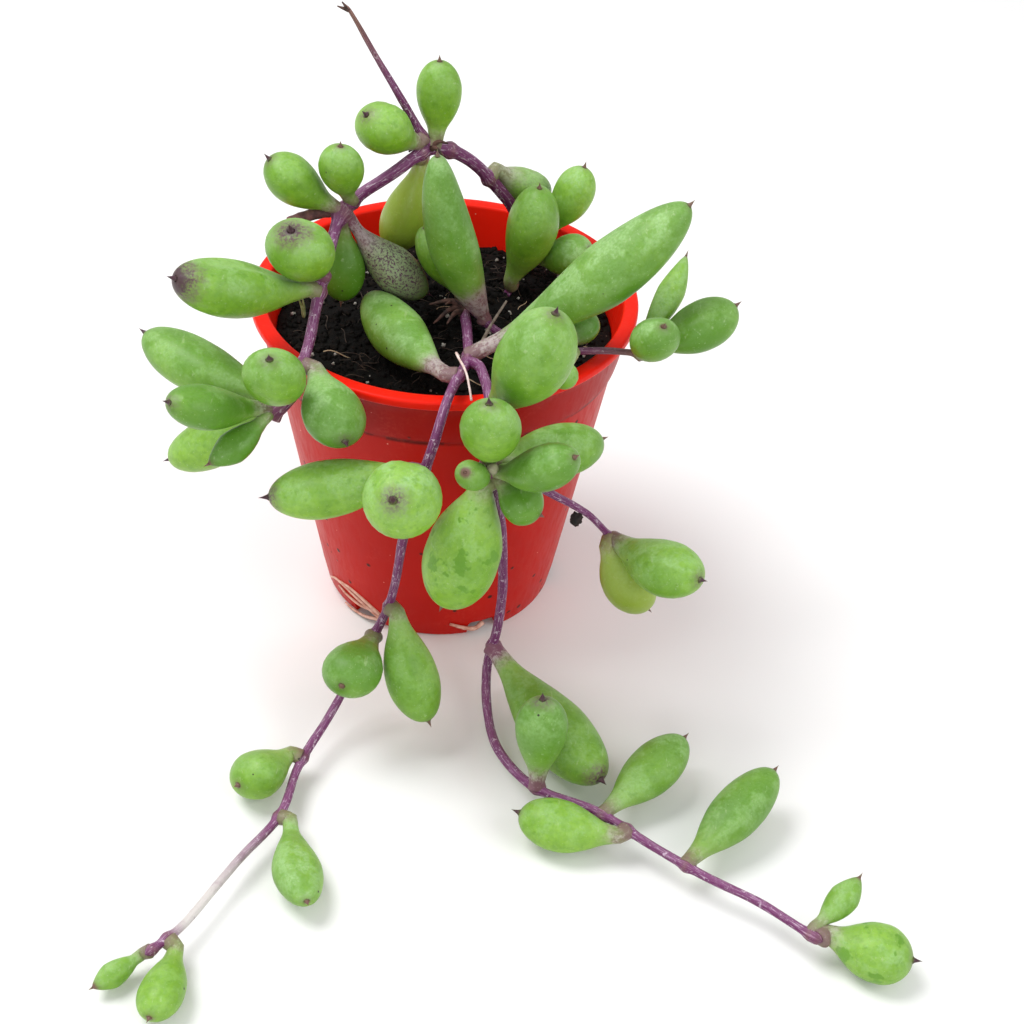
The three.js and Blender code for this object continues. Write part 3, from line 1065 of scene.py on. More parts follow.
@dataclass
class Stem:
    """One stem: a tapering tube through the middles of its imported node's rings."""

    node: str
    woody: tuple[float, float] = (0.0, 0.0)
    papery: tuple[float, float] = (0.0, 0.0)
    taper: float = 0.25
    swell: float = 1.0
    slot: str = "stem"
    seed: int = 0
    line: np.ndarray = field(default_factory=lambda: np.zeros((0, 3)))
    radius: float = 0.0
    nodes_at: list[float] = field(default_factory=list)

    def trace(self, soil_top: float) -> None:
        """Reads the stem's middle line and radius from its node.

        Args:
            soil_top: the height of the soil, which tells a stem's foot from its tip.
        """
        traced = TracedNode(self.node)
        rings = traced.rings_from(traced.first_rim())
        centres = np.array([ring.mean(axis=0) for ring in rings])
        self.radius = float(
            np.mean([np.linalg.norm(ring - ring.mean(axis=0), axis=1).mean() for ring in rings])
        )
        axis = np.array([0.0, 0.0, soil_top])
        if np.linalg.norm(centres[-1] - axis) < np.linalg.norm(centres[0] - axis):
            centres = centres[::-1]
        self.line = curved_line(centres, 0.45 * MM)

    def root_into(self, target: np.ndarray) -> None:
        """Carries the stem's foot on, in one smooth bend, to a point inside what it grows from.

        Args:
            target: where the stem now starts.
        """
        foot = self.line[0]
        gap = float(np.linalg.norm(foot - target))
        back = unit(foot - self.line[6])
        knee = foot + back * 0.45 * gap
        steps = max(int(gap / (0.45 * MM)), 3)
        share = np.linspace(0, 1, steps, endpoint=False)[:, None]
        bend = (1 - share) ** 2 * target + 2 * share * (1 - share) * knee + share**2 * foot
        self.line = np.vstack([bend, self.line])

    def nearest(self, point: np.ndarray) -> tuple[int, float]:
        """Returns the index of the stem's nearest point and its distance.

        Args:
            point: the place to measure from.

        Returns:
            The index on the line, and the distance.
        """
        gaps = np.linalg.norm(self.line - point, axis=1)
        index = int(gaps.argmin())
        return index, float(gaps[index])

    def build(self, finishes: Finishes) -> bpy.types.Object:
        """Returns the finished stem.

        Args:
            finishes: the built materials.

        Returns:
            The stem in its material.
        """
        length = chord_lengths(self.line)
        share = length / length[-1]
        wobble = np.array([noise.noise(Vector((value * 260, self.seed * 3.1, 0.5))) for value in length])
        radii = self.swell * self.radius * (1 + 0.09 * wobble) * (1 - self.taper * share**1.5)
        for place in self.nodes_at:
            radii += self.radius * 0.42 * np.exp(-(((length - place) / (0.75 * MM)) ** 2))
        tip = np.clip((length[-1] - length) / (1.2 * MM), 0, 1)
        radii *= np.sqrt(np.clip(1 - (1 - tip) ** 2, 0.02, 1))
        drift = np.array(
            [noise.noise_vector(Vector((value * 130, self.seed * 7.7, 2.5)))[:] for value in length]
        )
        line = self.line + drift * 0.16 * MM * np.clip(length / (3 * MM), 0, 1)[:, None]
        line[:, 2] = np.maximum(line[:, 2], radii)
        sides, ups = carried_frames(line)
        skin = Skin(line, sides, ups, radii, radii * 0.94, around=16)

        def band(limits: tuple[float, float]) -> np.ndarray:
            """Returns how far each point is into a band of shares, with a slow start.

            Args:
                limits: the shares where the band starts and ends.

            Returns:
                A value from 0 to 1 for each point of the line.
            """
            low, high = limits
            rise = np.clip(
                (share - low) / max(0.6 * (high - low), 0.01), 0, 1
            ) if low > 0 else np.ones_like(share)
            return rise * np.clip((high - share) / 0.02, 0, 1)

        scars = sum(
            (np.exp(-(((length - place) / (0.5 * MM)) ** 2)) for place in self.nodes_at),
            np.zeros_like(length),
        )
        numbers = {
            "along_m": length,
            "age": np.clip(band(self.woody) + 0.5 * np.clip(scars, 0, 1), 0, 1),
            "pale": band(self.papery),
            "seed": np.full_like(length, float(self.seed)),
        }
        piece = skin.make(self.node + "_skin", numbers)
        settle(piece, finishes.stem, self.slot, self.node)
        return piece


class LeafKind(Enum):
    """How much purple a leaf shows: blush at its tip, reach (mm) and tint of its stalk, freckles."""

    PLAIN = (0.04, 1.9, 0.7, 0.0)
    TIPPED = (0.3, 2.6, 0.8, 0.0)
    BLUSHED = (0.8, 3.4, 0.95, 0.0)
    SPOTTED = (0.55, 3.0, 0.9, 0.0)
    FRECKLED = (0.4, 6.5, 0.95, 1.0)
    LONG_STALKED = (0.1, 6.5, 0.85, 0.0)
    PURPLE_END = (1.45, 2.2, 0.6, 0.0)
    GREY_ROSE = (0.1, 5.0, 0.6, 0.2)


LEAF_KINDS = {
    LeafKind.FRECKLED: ("arch_leaf_7",),
    LeafKind.PURPLE_END: ("arch_leaf_9",),
    LeafKind.BLUSHED: ("arch_leaf_8", "right_strand_leaf_8", "left_strand_leaf_1"),
    LeafKind.SPOTTED: ("left_strand_leaf_2", "right_strand_leaf_9"),
    LeafKind.TIPPED: (
        "arch_leaf_2", "arch_leaf_5", "arch_leaf_10", "arch_leaf_11", "arch_leaf_12", "arch_leaf_13",
        "arch_leaf_14", "right_strand_leaf_1", "right_strand_leaf_2", "right_strand_leaf_10",
        "right_strand_leaf_14", "side_strand_leaf_1",
    ),
    LeafKind.LONG_STALKED: ("crown_leaf_2", "crown_leaf_3", "right_shoot_leaf_1"),
    LeafKind.GREY_ROSE: ("arch_leaf_16",),
}
SHADED_LEAVES = ("arch_leaf_3", "arch_leaf_6", "arch_leaf_15", "right_shoot_leaf_2", "right_strand_leaf_5")
FROSTED_LEAVES = (
    "crown_leaf_1", "crown_leaf_2", "crown_leaf_3", "arch_leaf_7", "arch_leaf_10", "arch_leaf_16",
    "right_shoot_leaf_1", "left_strand_leaf_2", "left_strand_leaf_6", "back_shoot_leaf_3",
)
SLENDER_LEAVES = ("left_strand_leaf_7", "right_shoot_leaf_4", "right_strand_leaf_13", "arch_leaf_15")
CREASED_LEAVES = ("arch_leaf_9",)
ROUND_LEAVES = ("left_strand_leaf_2", "right_strand_leaf_1")
YELLOW_LEAVES = ("side_strand_leaf_2", "arch_leaf_3")
WINDOWED_LEAVES = ("right_strand_leaf_7", "arch_leaf_13", "right_strand_leaf_14")


@dataclass
class Leaf:
    """One leaf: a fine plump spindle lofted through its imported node's rings."""

    node: str
    order: int
    around: int = 28
    rings: int = 20
    bluntness: float = 1.95
    slender_end: float = 1.35
    point_length: float = 1.0 * MM
    point_radius: float = 0.58 * MM

    def kind(self) -> LeafKind:
        """Returns how purple the leaf is."""
        kinds = [kind for kind, names in LEAF_KINDS.items() if self.node in names]
        return kinds[0] if kinds else LeafKind.PLAIN

    def trace(self) -> tuple[np.ndarray, np.ndarray, np.ndarray, np.ndarray]:
        """Reads the leaf's form from its node.

        Returns:
            The middle points from root to tip, the half widths, the half thicknesses, and the
            direction of the width at the widest ring.
        """
        traced = TracedNode(self.node)
        poles = [index for index, near in enumerate(traced.neighbours) if len(near) >= 9]

        def height(index: int) -> float:
            """Returns how far a pole stands out from the ring round it."""
            ring = traced.points[traced.neighbours[index]]
            return float(np.linalg.norm(traced.points[index] - ring.mean(axis=0)))

        root = min(poles, key=height)
        rings = traced.rings_from({root})[1:]
        centres = np.array([ring.mean(axis=0) for ring in rings])
        widths, depths, sides = [], [], []
        for index, ring in enumerate(rings[:-1]):
            spread = ring - centres[index]
            _, size, axes = np.linalg.svd(spread, full_matrices=False)
            scale = math.sqrt(2 / len(ring))
            widths.append(size[0] * scale)
            depths.append(size[1] * scale)
            sides.append(axes[0])
        widest = int(np.argmax(widths))
        return centres, np.array(widths + [0.0]), np.array(depths + [0.0]), sides[widest]

    def build(self, stems: list[Stem], finishes: Finishes) -> bpy.types.Object:
        """Builds the leaf and joins its stalk to the nearest stem.

        Args:
            stems: the traced stems, whose nodes_at grow where leaves join.
            finishes: the object's finishes.

        Returns:
            The finished leaf.
        """
        random = np.random.default_rng(1000 + self.order)
        centres, widths, depths, side = self.trace()
        host = min(stems, key=lambda stem: stem.nearest(centres[0])[1])
        index, _ = host.nearest(centres[0])
        foot = host.line[index]
        host.nodes_at.append(float(chord_lengths(host.line)[index]))
        length = chord_lengths(centres)
        share = length / length[-1]
        flat = float(np.median(depths[1:-1] / widths[1:-1]))
        if self.node in ROUND_LEAVES:
            widths = widths * 0.5 * (1 + flat)
            flat = 1.0
        full = float(widths.max())
        blush, stalk_reach, stalk_tint, freckles = self.kind().value
        sharp = 1 + 0.7 * min(blush, 0.5)
        point_length = sharp * min(self.point_length, 0.08 * length[-1])
        neck = 1 - point_length / length[-1]
        swing = np.linspace(0, math.pi / 2, 26)[1:-1]
        wide = float(share[int(np.argmax(widths))])
        samples = np.concatenate(
            [
                np.linspace(0, wide, self.rings), wide + (neck - wide) * np.sin(swing),
                np.linspace(neck - 0.002, 1, 7),
            ]
        )
        line = smooth_curve(share, centres, samples)
        half = smooth_curve(share[:-1], widths[:-1], np.minimum(samples, share[-2]))
        half = half + max(0.15 * full - 0.15 * MM, 0) * np.clip(1 - samples / 0.34, 0, 1) ** 2
        blunt = self.slender_end if self.node in SLENDER_LEAVES else self.bluntness
        beyond = np.clip((samples - wide) / (neck - wide), 0, 1)
        dome = full * np.clip(1 - beyond**blunt, 0, 1) ** (1 / blunt)
        to_end = (1.0 - samples) * length[-1] / (point_length * 1.75)
        spike = sharp * self.point_radius * min(full / (3 * MM), 1.15) * np.clip(to_end, 0, 1) ** 1.25
        half = np.where(samples > wide, (dome**3 + spike**3) ** (1 / 3), half)
        lumps = np.array([noise.noise(Vector((value * 3.2, self.order * 5.3, 1.7))) for value in samples])
        half = half * (1 + 0.035 * lumps)
        bend = random.uniform(-0.028, 0.028) * length[-1]
        line = line + side * (bend * np.sin(math.pi * samples))[:, None] * (samples > 0)[:, None]
        gap = centres[0] - foot
        stalk_share = np.linspace(0.15, 1, 5, endpoint=False)
        stalk_line = foot + gap * stalk_share[:, None]
        stalk_half = half[0] * (1.2 - 0.2 * stalk_share)
        line = np.vstack([stalk_line, line])
        half = np.concatenate([stalk_half, half])
        thick = half * flat
        line[:, 2] = np.maximum(line[:, 2], thick * 0.9)
        sides, ups = carried_frames(line, side)
        if ups[len(ups) // 2][2] < 0:
            sides, ups = -sides, -ups
        along = chord_lengths(line)
        skin_length = chord_lengths(np.column_stack([along, half]))
        count = np.ones_like(along)
        # Leaves in SHADED_LEAVES get a low tone and thin bloom: painted shade.
        shaded, frosted = self.node in SHADED_LEAVES, self.node in FROSTED_LEAVES
        bloom = (0.2, 0.4) if shaded else (0.75, 0.95) if frosted else (0.35, 0.82)
        numbers = {
            "from_root": along,
            "from_tip": skin_length[-1] - skin_length,
            "along_share": along / along[-1],
            "tone": count * (random.uniform(0.0, 0.25) if shaded else random.uniform(0.35, 0.8)),
            "bloom": count * random.uniform(*bloom),
            "blush": count * blush * random.uniform(0.85, 1.15),
            "stalk_reach": count * stalk_reach * MM,
            "stalk_tint": count * stalk_tint,
            "freckles": count * freckles,
            "windows": count * (0.75 if self.node in WINDOWED_LEAVES else 0.1),
            "yellow": count * float(self.node in YELLOW_LEAVES),
            "grit": count * random.choice([0.01, 0.03, 0.09]),
        }
        crease = 0.16 if self.node in CREASED_LEAVES else random.choice([0.0, 0.0, 0.04, 0.07])
        skin = Skin(line, sides, ups, half, thick, around=self.around, crease=float(crease))
        piece = skin.make(self.node + "_skin", numbers)
        settle(piece, finishes.leaf, "leaf", self.node)
        return piece


@dataclass
class Plant:
    """All the stems and leaves."""

    stems: list[Stem] = field(
        default_factory=lambda: [
            Stem("arch_stem", seed=1),
            Stem("dry_stem", woody=(0.55, 1.1), taper=0.62, swell=1.3, slot="dry_stem", seed=2),
            Stem("left_strand", woody=(0.0, 0.135), papery=(0.83, 0.975), seed=3),
            Stem("right_strand", seed=4),
            Stem("right_shoot", woody=(0.7, 1.1), seed=5),
            Stem("side_strand", seed=6),
            Stem("back_shoot", seed=7),
        ]
    )
    join_reach: float = 4.6 * MM
    join_slant: float = 4.0 * MM

    def build(self, finishes: Finishes) -> None:
        """Builds every leaf, and then every stem with a swelling at each leaf.

        Args:
            finishes: the built materials.
        """
        soil_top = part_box("soil")[1][2]
        for stem in self.stems:
            stem.trace(soil_top)
        for stem in self.stems:
            self._root(stem)
        names = sorted(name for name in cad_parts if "_leaf_" in name)
        for order, name in enumerate(names):
            Leaf(name, order).build(self.stems, finishes)
        for stem in self.stems:
            stem.build(finishes)

    def _root(self, stem: Stem) -> None:
        """Joins a stem's foot to the stem it grows from, or else sinks it in the soil.

        Args:
            stem: the stem whose foot is joined.
        """
        foot = stem.line[0].copy()
        others = [other for other in self.stems if other is not stem]
        host = min(others, key=lambda other: other.nearest(foot)[1])
        index, gap = host.nearest(foot)
        if gap < self.join_reach:
            slant = int(self.join_slant / (0.45 * MM))
            fork = max(index - slant, 0) if index > slant else index
            stem.root_into(host.line[fork])
            host.nodes_at.append(float(chord_lengths(host.line)[fork]))
            return
        heading = unit(stem.line[0] - stem.line[6])
        stem.root_into(foot + (heading + np.array([0, 0, -1.4])) * 2.2 * MM)


# The pot and what is in it ------------------------------------------------------------------


def revolve(name: str, profile: list[tuple[float, float]], sides: int) -> bpy.types.Mesh:
    """Turns an outline round the z axis.

    Args:
        name: the mesh's name.
        profile: radius and height pairs, from the axis back to the axis.
        sides: how many steps round.

    Returns:
        The closed mesh.
    """
    work = bmesh.new()
    angle = [2 * math.pi * step / sides for step in range(sides)]
    rings = []
    for radius, height in profile:
        if radius == 0:
            rings.append([work.verts.new((0, 0, height))])
            continue
        rings.append(
            [work.verts.new((radius * math.cos(turn), radius * math.sin(turn), height)) for turn in angle]
        )
    for lower, upper in zip(rings, rings[1:]):
        for step in range(sides):
            after = (step + 1) % sides
            loop = [
                lower[step % len(lower)], lower[after % len(lower)], upper[after % len(upper)],
                upper[step % len(upper)],
            ]
            corners = list(dict.fromkeys(loop))
            work.faces.new(corners)
    bmesh.ops.recalc_face_normals(work, faces=work.faces)
    mesh = bpy.data.meshes.new(name)
    work.to_mesh(mesh)
    work.free()
    return mesh


@dataclass
class Pot:
    """The round nursery pot: leaning wall, collar, rolled lip and notched foot."""

    wall: float = 0.9 * MM
    base: float = 1.2 * MM
    lip_width: float = 1.3 * MM
    lip_height: float = 1.4 * MM
    collar_height: float = 8.5 * MM
    collar_step: float = 0.5 * MM
    foot_radius: float = 17.6 * MM
    notch_count: int = 6
    notch_heading: float = 236.0
    notch_width: float = 5.0 * MM
    notch_height: float = 2.6 * MM
    notch_depth: float = 4.4 * MM
    sides: int = 192

    def outer(self, height: float) -> float:
        """Returns the wall's outer radius at a height.

        Args:
            height: height above the ground.

        Returns:
            The radius there.
        """
        low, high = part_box("pot")
        top = high[0] - self.lip_width
        return self.foot_radius + (top - self.foot_radius) * height / (high[2] - low[2])

    def profile(self) -> list[tuple[float, float]]:
        """Returns the pot's outline, from the middle of its underside to the middle inside.

        Returns:
            Radius and height of each corner, in order.
        """
        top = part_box("pot")[1][2]
        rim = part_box("pot")[1][0]
        under = top - self.lip_height
        collar = top - self.collar_height
        turn = 0.45 * MM
        points = [
            (0.0, 0.0), (self.outer(0) - 0.7 * MM, 0.0), (self.outer(0) - 0.2 * MM, 0.15 * MM),
            (self.outer(0), 0.6 * MM),
        ]
        points += [(self.outer(height * MM), height * MM) for height in np.linspace(4, 40, 12)]
        points += [
            (self.outer(collar) + 0.02 * MM, collar),
            (self.outer(collar) + self.collar_step * 0.75, collar + 0.22 * MM),
        ]
        points += [(self.outer(collar) + self.collar_step, collar + 0.6 * MM)]
        points += [
            (self.outer(height) + self.collar_step, height)
            for height in np.linspace(collar + 2 * MM, under - 0.35 * MM, 4)
        ]
        points += [(self.outer(under) + self.collar_step + 0.15 * MM, under - 0.05 * MM)]
        for step in range(5):
            swing = math.radians(-90 + 90 * step / 4)
            points.append((rim - turn + turn * math.cos(swing), under + turn + turn * math.sin(swing)))
        for step in range(5):
            swing = math.radians(90 * step / 4)
            points.append((rim - turn + turn * math.cos(swing), top - turn + turn * math.sin(swing)))
        inner = self.outer(top) - self.wall
        for step in range(4):
            swing = math.radians(90 + 90 * step / 3)
            points.append((inner + turn + turn * math.cos(swing), top - turn + turn * math.sin(swing)))
        points += [
            (self.outer(height) - self.wall, height)
            for height in np.linspace(top - 3 * MM, self.base + MM, 8)
        ]
        points += [(self.outer(self.base) - self.wall - 0.5 * MM, self.base), (0.0, self.base)]
        return points

    def build(self, finishes: Finishes) -> bpy.types.Object:
        """Returns the finished pot, with its notches cut.

        Args:
            finishes: the built materials.

        Returns:
            The pot in its material.
        """
        body = bpy.data.objects.new("pot_shell", revolve("pot_shell", self.profile(), self.sides))
        bpy.context.scene.collection.objects.link(body)
        cutter_mesh = bmesh.new()
        for index in range(self.notch_count):
            heading = math.radians(self.notch_heading + 360 / self.notch_count * index)
            size = Matrix.Diagonal((self.notch_depth * 2, self.notch_width, self.notch_height * 2, 1))
            place = Matrix.Rotation(heading, 4, "Z") @ Matrix.Translation((self.outer(0), 0, 0)) @ size
            bmesh.ops.create_cube(cutter_mesh, size=1.0, matrix=place)
        edges = [edge for edge in cutter_mesh.edges if min(vert.co.z for vert in edge.verts) > 0]
        bmesh.ops.bevel(cutter_mesh, geom=edges, offset=0.6 * MM, segments=4, profile=0.5, affect="EDGES")
        mesh = bpy.data.meshes.new("pot_notches")
        cutter_mesh.to_mesh(mesh)
        cutter_mesh.free()
        cutter = bpy.data.objects.new("pot_notches", mesh)
        bpy.context.scene.collection.objects.link(cutter)
        cut = body.modifiers.new("notches", "BOOLEAN")
        cut.operation = "DIFFERENCE"
        cut.object = cutter
        cut.solver = "EXACT"
        graph = bpy.context.evaluated_depsgraph_get()
        cut_mesh = bpy.data.meshes.new_from_object(body.evaluated_get(graph))
        bpy.data.objects.remove(cutter)
        bpy.data.objects.remove(body)
        cut_mesh.materials.clear()
        piece = finish_mesh("pot_shell", cut_mesh)
        cut_mesh.set_sharp_from_angle(angle=math.radians(38))
        settle(piece, finishes.pot, "pot", "pot")
        return piece


@dataclass
class Soil:
    """The peat in the pot: an uneven top with a lower edge, and plain sides inside the pot."""

    lift: float = 0.9 * MM
    ring_step: float = 0.42 * MM
    sides: int = 220

    def height(self, x: float, y: float, radius: float, edge: float, top: float) -> float:
        """Returns the height of the soil's top at a place.

        Args:
            x: place across.
            y: place from front to back.
            radius: distance from the pot's axis.
            edge: radius of the soil's top.
            top: height of the flat top.

        Returns:
            The height there.
        """
        place = Vector((x, y, 0))
        broad = noise.noise(place * 90) * 0.9
        lumps = noise.fractal(place * 420, 0.9, 2.1, 4) * 0.62
        fine = noise.noise(place * 1900) * 0.22
        dip = -1.1 * (radius / edge) ** 5
        return top + (broad + lumps + fine + dip) * self.lift * 0.8

    def build(self, finishes: Finishes) -> bpy.types.Object:
        """Returns the finished soil.

        Args:
            finishes: the built materials.

        Returns:
            The soil in its material.
        """
        low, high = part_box("soil")
        edge, top, bottom = high[0], high[2] - 0.3 * MM, low[2]
        work = bmesh.new()
        count = int(edge / self.ring_step)
        rings = [[work.verts.new((0, 0, self.height(0, 0, 0, edge, top)))]]
        for index in range(1, count + 1):
            radius = edge * index / count
            ring = []
            for step in range(self.sides):
                turn = 2 * math.pi * step / self.sides
                x, y = radius * math.cos(turn), radius * math.sin(turn)
                ring.append(work.verts.new((x, y, self.height(x, y, radius, edge, top))))
            rings.append(ring)
        foot_share = (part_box("pot")[1][0] - 11.5 * MM) / edge
        rings.append(
            [work.verts.new((vert.co.x * foot_share, vert.co.y * foot_share, bottom)) for vert in rings[-1]]
        )
        rings.append([work.verts.new((0, 0, bottom))])
        for lower, upper in zip(rings, rings[1:]):
            for step in range(self.sides):
                after = (step + 1) % self.sides
                loop = [
                    lower[step % len(lower)], lower[after % len(lower)], upper[after % len(upper)],
                    upper[step % len(upper)],
                ]
                work.faces.new(list(dict.fromkeys(loop)))
        mesh = bpy.data.meshes.new("soil_bed")
        work.to_mesh(mesh)
        work.free()
        piece = finish_mesh("soil_bed", mesh)
        settle(piece, finishes.soil, "soil", "soil")
        return piece


class GrainShape(Enum):
    """What a scattered grain is."""

    CRUMB = "crumb"
    FIBRE = "fibre"


@dataclass
class Scatter:
    """Grains scattered over the upward part of a surface by Geometry Nodes."""

    name: str
    shape: GrainShape
    density: float
    size: float
    seed: int
    lowest: float
    lift: float = 0.0

    def tree(self) -> bpy.types.NodeTree:
        """Returns the node tree, with named inputs for the grain's size, number and seed.

        Returns:
            The Geometry Nodes tree.
        """
        tree = bpy.data.node_groups.new(self.name + "_tree", "GeometryNodeTree")
        tree.interface.new_socket("Surface", in_out="INPUT", socket_type="NodeSocketGeometry")
        for label in ("Density", "Grain size", "Lowest height", "Lift", "Reach"):
            tree.interface.new_socket(label, in_out="INPUT", socket_type="NodeSocketFloat")
        tree.interface.new_socket("Seed", in_out="INPUT", socket_type="NodeSocketInt")
        tree.interface.new_socket("Finish", in_out="INPUT", socket_type="NodeSocketMaterial")
        tree.interface.new_socket("Grains", in_out="OUTPUT", socket_type="NodeSocketGeometry")
        build = ShaderTree(tree)
        source, sink = build.add("NodeGroupInput"), build.add("NodeGroupOutput")
        place = build.add("ShaderNodeSeparateXYZ", {0: build.add("GeometryNodeInputPosition").outputs[0]})
        height = place.outputs["Z"]
        flat_place = build.add(
            "ShaderNodeCombineXYZ", {"X": place.outputs["X"], "Y": place.outputs["Y"]}
        ).outputs[0]
        away = build.add("ShaderNodeVectorMath", {0: flat_place}, operation="LENGTH").outputs["Value"]
        upward = build.add(
            "ShaderNodeSeparateXYZ", {0: build.add("GeometryNodeInputNormal").outputs[0]}
        ).outputs["Z"]
        high = build.add(
            "FunctionNodeCompare", {0: height, 1: source.outputs["Lowest height"]}, operation="GREATER_THAN"
        ).outputs[0]
        level = build.add("FunctionNodeCompare", {0: upward, 1: 0.2}, operation="GREATER_THAN").outputs[0]
        inside = build.add(
            "FunctionNodeCompare", {0: away, 1: source.outputs["Reach"]}, operation="LESS_THAN"
        ).outputs[0]
        both = build.add("FunctionNodeBooleanMath", {0: high, 1: level}, operation="AND").outputs[0]
        both = build.add("FunctionNodeBooleanMath", {0: both, 1: inside}, operation="AND").outputs[0]
        spread = build.add(
            "GeometryNodeDistributePointsOnFaces",
            {
                "Mesh": source.outputs["Surface"],
                "Selection": both,
                "Density": source.outputs["Density"],
                "Seed": source.outputs["Seed"],
            },
        )
        grain = self._grain(build)
        turned = build.add(
            "FunctionNodeRandomValue",
            {0: (0.0, 0.0, 0.0), 1: (6.28, 6.28, 6.28), "Seed": source.outputs["Seed"]},
            data_type="FLOAT_VECTOR",
        )
        if self.shape is GrainShape.FIBRE:
            turned.inputs[0].default_value = (-0.35, -0.35, 0.0)
            turned.inputs[1].default_value = (0.35, 0.35, 6.28)
        sized = build.add("FunctionNodeRandomValue", {2: 0.35, 3: 1.3, "Seed": source.outputs["Seed"]})
        scale = build.add(
            "ShaderNodeMath", {0: sized.outputs[1], 1: source.outputs["Grain size"]}, operation="MULTIPLY"
        ).outputs[0]
        placed = build.add(
            "GeometryNodeInstanceOnPoints",
            {
                "Points": spread.outputs["Points"],
                "Instance": grain,
                "Rotation": turned.outputs[0],
                "Scale": scale,
            },
        )
        raised = build.add("ShaderNodeCombineXYZ", {"Z": source.outputs["Lift"]}).outputs[0]
        lifted = build.add(
            "GeometryNodeTranslateInstances",
            {"Instances": placed.outputs[0], "Translation": raised, "Local Space": False},
        )
        solid = build.add("GeometryNodeRealizeInstances", {0: lifted.outputs[0]}).outputs[0]
        dressed = build.add(
            "GeometryNodeSetMaterial", {"Geometry": solid, "Material": source.outputs["Finish"]}
        ).outputs[0]
        tree.links.new(dressed, sink.inputs["Grains"])
        return tree

    def _grain(self, build: ShaderTree) -> bpy.types.NodeSocket:
        """Returns one grain, about one unit across.

        Args:
            build: the tree under construction.

        Returns:
            The socket of the grain's geometry.
        """
        if self.shape is GrainShape.CRUMB:
            ball = build.add("GeometryNodeMeshIcoSphere", {"Radius": 0.5, "Subdivisions": 2}).outputs[0]
            rough = build.add("ShaderNodeTexNoise", {"Scale": 1.6, "Detail": 1.0})
            offset = build.add(
                "ShaderNodeVectorMath", {0: rough.outputs["Color"], 1: (0.5, 0.5, 0.5)}, operation="SUBTRACT"
            ).outputs[0]
            pushed = build.add(
                "ShaderNodeVectorMath", {0: offset, "Scale": 1.1}, operation="SCALE"
            ).outputs[0]
            return build.add("GeometryNodeSetPosition", {"Geometry": ball, "Offset": pushed}).outputs[0]
        line = build.add(
            "GeometryNodeCurvePrimitiveBezierSegment",
            {
                "Resolution": 8,
                "Start": (-0.5, 0.0, 0.0),
                "Start Handle": (-0.2, 0.22, 0.1),
                "End Handle": (0.15, -0.2, 0.12),
                "End": (0.5, 0.05, -0.02),
            },
        )
        ring = build.add("GeometryNodeCurvePrimitiveCircle", {"Resolution": 5, "Radius": 0.022})
        return build.add(
            "GeometryNodeCurveToMesh",
            {"Curve": line.outputs[0], "Profile Curve": ring.outputs[0], "Fill Caps": True},
        ).outputs[0]

    def build(self, surface: bpy.types.Object, material: bpy.types.Material, slot: str) -> bpy.types.Object:
        """Scatters the grains over a copy of the surface.

        Args:
            surface: the piece that the grains lie on.
            material: the grains' finish.
            slot: the record's material slot.

        Returns:
            The finished grains as one plain mesh.
        """
        carrier = bpy.data.objects.new(self.name, surface.data.copy())
        bpy.context.scene.collection.objects.link(carrier)
        modifier = carrier.modifiers.new("scatter", "NODES")
        modifier.node_group = self.tree()
        wanted = {
            "Density": self.density,
            "Grain size": self.size,
            "Lowest height": self.lowest,
            "Lift": self.lift,
            "Reach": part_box("soil")[1][0] - 0.75 * self.size,
            "Seed": self.seed,
            "Finish": material,
        }
        for item in modifier.node_group.interface.items_tree:
            if item.in_out == "INPUT" and item.name in wanted:
                modifier[item.identifier] = wanted[item.name]
        graph = bpy.context.evaluated_depsgraph_get()
        mesh = bpy.data.meshes.new_from_object(carrier.evaluated_get(graph))
        bpy.data.objects.remove(carrier)
        piece = finish_mesh(self.name, mesh)
        settle(piece, material, slot)
        return piece


@dataclass
class Strand:
    """A thin tapered fibre through a few points."""

    name: str
    points: list[tuple[float, float, float]]
    radius: float
    end_share: float = 0.35
    lowest: float = 0.0

    def build(self, material: bpy.types.Material, slot: str) -> bpy.types.Object:
        """Returns the finished fibre.

        Args:
            material: what the fibre wears.
            slot: name of its material slot.

        Returns:
            The fibre in its material.
        """
        line = curved_line(np.array(self.points), 0.4 * MM)
        share = np.linspace(0, 1, len(line))
        radii = self.radius * (1 - (1 - self.end_share) * share)
        radii *= 1 + 0.15 * np.array(
            [noise.noise(Vector((value * 9, self.radius * 9e3, 0))) for value in share]
        )
        line[:, 2] = np.maximum(line[:, 2], radii + self.lowest)
        sides, ups = carried_frames(line)
        piece = Skin(line, sides, ups, radii, radii, around=8).make(
            self.name, {"along_m": chord_lengths(line)}
        )
        settle(piece, material, slot)
        return piece


